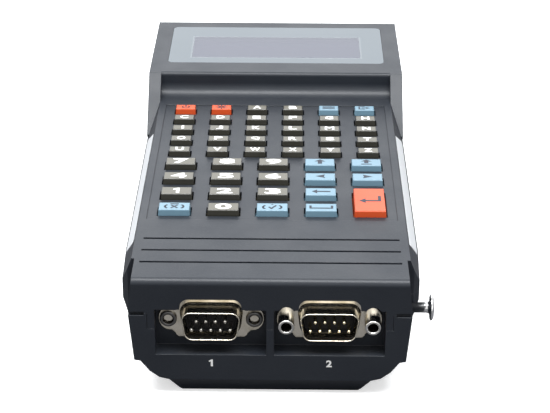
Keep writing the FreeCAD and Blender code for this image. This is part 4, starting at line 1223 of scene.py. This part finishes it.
@dataclass
class SerialPort:
    """One nine pin port: flange, D shaped shell, insulator, pins and jacks."""

    side: Side
    sizes: PortSizes
    case: CaseSizes
    shop: Workshop

    def finish(self, surface: Surface, name: str, material: Material,
               smooth: bool = True) -> None:
        """Makes a piece of the port that stands for the plain solids.

        Args:
            surface: Its mesh.
            name: What it is.
            material: Its look.
            smooth: Whether it shades smoothly.
        """
        thing = surface.build(f"port_{self.side.name.lower()}_{name}", material, smooth=smooth)
        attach(thing, "terminal")
        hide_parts("serial_ports")

    def on_face(self, outline: np.ndarray, depth: float | np.ndarray) -> np.ndarray:
        """Places an outline of the port at a depth behind the front of the case.

        A point (u, v) goes to (sign * centre_x + u, front + depth, centre_z + v).

        Args:
            outline: Array of shape (..., 2) about the port's centre.
            depth: Distance from the front.

        Returns:
            Array of shape (..., 3), in millimetres.
        """
        x = outline[..., 0] + self.side.value * self.sizes.centre_x
        y = np.broadcast_to(np.asarray(depth, float), x.shape) + self.case.front
        return np.stack([x, y, outline[..., 1] + self.sizes.centre_z], -1)

    def d_loop(self, extra: float) -> np.ndarray:
        """Gives the D outline, grown by a distance.

        It is a trapezium with rounded corners, each lower one set in by slope.

        Args:
            extra: How far outside the inner outline.

        Returns:
            Array of shape (n, 2).
        """
        sizes = self.sizes
        half, tall = sizes.inner_wide / 2 + extra, sizes.inner_high / 2 + extra
        corners = np.array([(half, tall), (-half, tall), (sizes.slope - half, -tall),
                            (half - sizes.slope, -tall)])
        return rounded_loop(corners, max(sizes.corner + extra, sizes.least_corner),
                            sizes.corner_steps)

    def stack(self, loop: Callable[[float], np.ndarray],
              stages: list[tuple[float, float]]) -> np.ndarray:
        """Stacks an outline at several depths: row i is loop(offset i) at depth i.

        Args:
            loop: Gives the outline for an offset.
            stages: Offset and depth of each row.

        Returns:
            Array of shape (rows, columns, 3), in millimetres.
        """
        return np.stack([self.on_face(loop(offset), depth) for offset, depth in stages])

    def flange_loop(self, inset: float) -> np.ndarray:
        """Gives the outline of the flange: a tall middle with lower ears.

        The right ear is (wide - r + r * cos t, ear * sin t) with t from -90 to 90
        degrees, where r is ear_round. The left ear and the bottom are the right ear
        and the top turned by half a turn.

        Args:
            inset: How far inside the outer outline.

        Returns:
            Array of shape (n, 2).
        """
        sizes = self.sizes
        wide, high = sizes.flange_wide / 2 - inset, sizes.flange_high / 2 - inset
        middle, ear = sizes.flange_middle / 2 - inset * sizes.taper, sizes.ear_high / 2 - inset
        turn = np.radians(np.linspace(-90, 90, sizes.ear_steps))
        reach = np.minimum(wide - sizes.ear_round + sizes.ear_round * np.cos(turn), wide)
        right_ear = np.stack([reach, ear * np.sin(turn)], 1)
        neck, cut = sizes.neck, sizes.flange_cut
        top = np.array([(middle + neck, ear), (middle, ear + neck), (middle, high - cut),
                        (middle - cut, high), (cut - middle, high), (-middle, high - cut),
                        (-middle, ear + neck), (-middle - neck, ear)])
        return np.concatenate([right_ear, top, -right_ear, -top])

    def build_flange(self) -> None:
        """Makes the flange as stacked outlines with a softened front edge."""
        front, back = self.sizes.flange_front, self.sizes.flange_back
        stages = [(0.0, back - 0.02), (0.0, front + 0.2), (0.06, front + 0.06), (0.2, front)]
        surface = Surface()
        surface.add_solid(self.stack(self.flange_loop, stages))
        self.finish(surface, "flange", self.shop.metal(SHELL_METAL), smooth=False)

    def build_shell(self) -> None:
        """Makes the D shaped shell: outlines from its flared root over the rolled rim and back."""
        skin, root = self.sizes.skin, self.sizes.flange_front
        stages = [(skin + 0.75, root), (skin + 0.3, root - 0.12), (skin + 0.08, root - 0.45),
                  (skin, root - 0.8), (skin, 0.3), (skin * 0.93, 0.14), (skin * 0.75, 0.04),
                  (skin * 0.5, 0.0), (skin * 0.25, 0.04), (skin * 0.07, 0.14), (0.0, 0.3),
                  (0.0, root - 0.1)]
        surface = Surface()
        surface.add_grid(self.stack(self.d_loop, stages + stages[:1]))
        self.finish(surface, "shell", self.shop.metal(SHELL_METAL))

    def build_insulator(self) -> None:
        """Makes the insulator that carries the pins, with a low bead round it."""
        root = self.sizes.flange_front
        stages = [(-0.02, root + 0.4), (-0.02, root - 0.45), (-0.3, root - 0.55),
                  (-0.6, root - 0.45), (-0.75, root - 0.2)]
        surface = Surface()
        surface.add_solid(self.stack(self.d_loop, stages))
        self.finish(surface, "insulator", self.shop.plastic(INSULATOR), smooth=False)

    def build_pins(self) -> None:
        """Makes the nine pins, each a turned rod with a round tip.

        At angle a the tip has the radius r * cos a, r * (1 - sin a) behind its end.
        """
        sizes = self.sizes
        angle = np.radians(np.linspace(0, 90, sizes.tip_steps))
        tip = np.stack([sizes.pin_front + sizes.pin_radius * (1 - np.sin(angle)),
                        sizes.pin_radius * np.cos(angle)], 1)[::-1]
        profile = np.concatenate([tip, [(sizes.flange_front + 0.3, sizes.pin_radius)]])
        turned = lathe(profile, sizes.pin_steps)
        surface = Surface()
        for row, count in ((1, 5), (-1, 4)):
            for number in range(count):
                across = (number - (count - 1) / 2) * sizes.pin_pitch
                spot = np.array([across, -row * sizes.pin_row / 2])
                surface.add_grid(self.on_face(turned[..., 1:] + spot, turned[..., 0]))
        metal = PIN_METAL if self.side is Side.RIGHT else DULL_PIN_METAL
        self.finish(surface, "pins", self.shop.metal(metal))

    def build_jacks(self) -> None:
        """Makes the two threaded jacks, their bores coloured near black as painted shade inside
        the holes.

        The bore's radius is bore + thread_deep * cos(2 pi * d / thread_pitch), with d
        the distance behind the jack's front.
        """
        sizes = self.sizes
        right = self.side is Side.RIGHT
        outer = sizes.standoff if right else sizes.insert
        front = sizes.standoff_front if right else sizes.insert_front
        root = sizes.flange_front + 0.02
        depth = np.linspace(front + 0.35, sizes.flange_front + sizes.thread_long,
                            sizes.thread_steps)
        turns = (depth - front) / sizes.thread_pitch
        thread = sizes.bore + sizes.thread_deep * np.cos(2 * math.pi * turns)
        profile = np.array([(root, outer), (front + 0.3, outer), (front + 0.08, outer - 0.1),
                            (front, outer - 0.32), (front, sizes.bore + 0.3),
                            (front + 0.08, sizes.bore + 0.16), (front + 0.35, sizes.bore + 0.1)])
        bore = np.concatenate([np.stack([depth, thread], 1), [(depth[-1], AXIS)]])
        metal = self.shop.metal(JACK_METAL if right else DARK_JACK_METAL)
        # The bores take the near black metal: painted shade inside the holes.
        for name, line, material in (("jacks", profile, metal),
                                     ("jack_bores", bore, self.shop.metal(SHADED_BORE_METAL))):
            turned = lathe(line, sizes.round_steps)
            surface = Surface()
            for side in Side:
                spot = np.array([side.value * sizes.jack_spacing / 2, 0.0])
                surface.add_grid(self.on_face(turned[..., 1:] + spot, turned[..., 0]))
            self.finish(surface, name, material)

    def build_number(self, legends: LegendSizes) -> None:
        """Makes the plain number printed on the front face below the port.

        Args:
            legends: Sizes of the number.
        """
        if self.side is Side.LEFT:
            text, points, faces = "1", np.array(ONE), [list(range(len(ONE)))]
        else:
            text = "2"
            points, faces = character_outline(text, legends.weight)
        x = points[:, 0] * legends.port_wide / 2 + self.side.value * self.sizes.centre_x
        z = points[:, 1] * legends.port_high / 2 + legends.port_z
        surface = Surface()
        surface.add_points(np.stack([x, np.full_like(x, self.case.front - legends.lift), z], 1))
        surface.faces = faces
        number = surface.build(f"port_number_{text}", self.shop.plastic(WHITE_INK), closed=False,
                               smooth=False)
        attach(number, "terminal")

    def build(self) -> None:
        """Makes the whole port."""
        self.build_flange()
        self.build_shell()
        self.build_insulator()
        self.build_pins()
        self.build_jacks()


@dataclass
class StrapStud:
    """The turned stud with a round head on the right side."""

    sizes: StudSizes
    shop: Workshop

    def build(self) -> None:
        """Makes the stud.

        A point of its profile, x along and r out, turns to (x, y + r * cos a, z + r * sin a).
        """
        s = self.sizes
        profile = np.array([
            (s.start, AXIS), (s.start, s.neck), (s.flare, s.neck), (s.flare + 0.4, s.neck + 0.15),
            (s.shoulder - 0.1, s.neck + 0.5), (s.shoulder, s.neck + 0.6),
            (s.shoulder, s.head - 0.3), (s.shoulder + 0.09, s.head - 0.09),
            (s.shoulder + 0.3, s.head), (s.shoulder + 0.55, s.head - 0.02),
            (s.tip - 0.4, s.head - 0.4), (s.tip - 0.2, s.head - 1.0),
            (s.tip - 0.08, s.head / 2), (s.tip, AXIS)])
        surface = Surface()
        surface.add_grid(lathe(profile, s.steps) + np.array([0.0, s.y, s.z]))
        stud = surface.build("strap_stud_turned", self.shop.metal(STUD_METAL))
        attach(stud, "terminal")
        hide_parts("strap_stud")


# The studio


@dataclass
class Studio:
    """The camera, the lights and the pale floor.

    Attributes:
        camera_place: Where the camera stands, in metres.
        camera_turn: Its rotation about X, Y and Z, in degrees.
        sensor: Width of its sensor, in millimetres.
        lens: Focal length, in millimetres.
        near: Nearest distance that it sees, in metres.
        world_light: Strength of the world as a lamp.
        world_gloss: Strength of the world in reflections, from world_light at 0 to white at 1.
        floor_glow: Strength of the floor's own light to the eye.
        floor_half: Half the width of the floor, in millimetres.
    """

    camera_place: Place = (0.0053, -0.5183, 0.2693)
    camera_turn: Place = (63.8, -0.2, 0.645)
    sensor: float = 36.0
    lens: float = 111.27
    near: float = 0.01
    world_light: float = 0.5
    world_gloss: float = 0.95
    floor_glow: float = 0.5
    floor_half: float = 3000.0

    def build_camera(self) -> None:
        """Places the camera as the photograph was taken."""
        data = bpy.data.cameras.new("camera")
        data.sensor_width = self.sensor
        data.lens = self.lens
        data.clip_start = self.near
        camera = bpy.data.objects.new("camera", data)
        camera.location = self.camera_place
        camera.rotation_euler = [math.radians(angle) for angle in self.camera_turn]
        bpy.context.scene.collection.objects.link(camera)
        bpy.context.scene.camera = camera

    def build_light(self, box: LightBox) -> None:
        """Adds one soft light.

        Args:
            box: The light.
        """
        data = bpy.data.lights.new(box.name, "AREA")
        data.shape = "RECTANGLE"
        data.size = box.wide
        data.size_y = box.high
        data.energy = box.power
        data.color = box.colour
        lamp = bpy.data.objects.new(box.name, data)
        x, y, z = np.array(box.aim) - np.array(box.place)
        lamp.location = box.place
        lamp.rotation_euler = (math.atan2(math.hypot(x, y), -z), 0.0, math.atan2(-x, y))
        bpy.context.scene.collection.objects.link(lamp)

    def build_world(self) -> None:
        """Makes the world white to the eye and in reflections, and dimmer as a lamp."""
        world = bpy.data.worlds.new("studio")
        world.use_nodes = True
        world.node_tree.nodes.clear()
        tree = Tree(world.node_tree)
        path = tree.node("ShaderNodeLightPath").outputs
        soft = tree.math("MULTIPLY", path["Is Glossy Ray"], self.world_gloss)
        clear = tree.math("MAXIMUM", path["Is Camera Ray"], path["Is Transmission Ray"])
        seen = tree.math("MAXIMUM", clear, soft)
        strength = tree.ramp(seen, 0.0, 1.0, self.world_light, 1.0)
        back = tree.node("ShaderNodeBackground",
                         {"Color": (1.0, 1.0, 1.0), "Strength": strength})
        tree.node("ShaderNodeOutputWorld", {"Surface": back.outputs[0]})
        bpy.context.scene.world = world

    def build_floor(self) -> None:
        """Makes the pale floor."""
        material = bpy.data.materials.new("floor_paper")
        material.use_nodes = True
        tree = Tree(material.node_tree)
        shader = material.node_tree.nodes["Principled BSDF"]
        tone = tree.ramp(tree.noise(3.0, 2.0), 0.3, 0.7)
        seen = tree.node("ShaderNodeLightPath").outputs["Is Camera Ray"]
        paper = tree.blend(tone, (0.93, 0.93, 0.935), (0.95, 0.95, 0.95))
        tree.feed(shader, "Base Color", tree.blend(seen, (0.09, 0.09, 0.095), paper))
        tree.feed(shader, "Roughness", 0.7)
        tree.feed(shader, "Emission Color", (1.0, 1.0, 1.0))
        tree.feed(shader, "Emission Strength", tree.ramp(seen, 0.0, 1.0, 0.0, self.floor_glow))
        corners = np.array([(-1, -1, 0), (1, -1, 0), (1, 1, 0), (-1, 1, 0)])
        surface = Surface()
        surface.add_face(corners * self.floor_half)
        floor = surface.build("floor", material, closed=False, smooth=False)

    def build(self) -> None:
        """Sets up the whole studio."""
        self.build_camera()
        for box in LIGHTS:
            self.build_light(box)
        self.build_world()
        self.build_floor()
        bpy.context.scene.view_settings.view_transform = "Standard"


# The terminal


class Terminal:
    """The whole terminal: dressed solids and the pieces added to them."""

    def __init__(self) -> None:
        self.shop = Workshop()
        self.case = CaseSizes()
        self.display = DisplaySizes()
        self.legends = LegendSizes()
        self.keys = [name.removeprefix("key_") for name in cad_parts
                     if name.startswith("key_") and name != "key_mat"]

    def dress(self, node: str, material: Material) -> None:
        """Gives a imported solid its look.

        Args:
            node: Name of the solid.
            material: Its look.
        """
        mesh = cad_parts[node].data
        mesh.materials.clear()
        mesh.materials.append(material)
        LOG.info("dressed %s", node)

    def dress_solids(self) -> None:
        """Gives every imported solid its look."""
        shop = self.shop
        looks = {
            "upper_case": shop.plastic(CASE), "lower_case": shop.plastic(CASE),
            "battery_lid": shop.plastic(CASE), "display_window": shop.window(self.display),
            "display_module": shop.display(self.display),
            "main_board": shop.circuit_board(self.case), "key_mat": shop.plastic(KEY_RUBBER),
            "serial_ports": shop.metal(SHELL_METAL), "strap_stud": shop.metal(STUD_METAL),
            "case_screws": shop.metal(SCREW_METAL), "batteries": shop.cell_wrap(),
        }
        finishes = {KeyKind.DARK: DARK_KEY, KeyKind.BLUE: BLUE_KEY, KeyKind.ORANGE: ORANGE_KEY}
        for key in self.keys:
            looks[f"key_{key}"] = shop.plastic(finishes[kind_of(key)])
        for node, material in looks.items():
            self.dress(node, material)

    def build(self) -> None:
        """Dresses the solids and adds every piece."""
        self.dress_solids()
        for key in self.keys:
            Legend(key, self.legends, self.case, self.shop).build()
        for side in Side:
            SideGrip(side, GripSizes(), self.case, self.shop).build()
            port = SerialPort(side, PortSizes(), self.case, self.shop)
            port.build()
            port.build_number(self.legends)
        StrapStud(StudSizes(), self.shop).build()


def main() -> None:
    """Builds the scene and writes how large it is."""
    logging.basicConfig(level=logging.INFO, format="%(name)s %(message)s")
    Terminal().build()
    Studio().build()


if __name__ == "__main__":
    main()
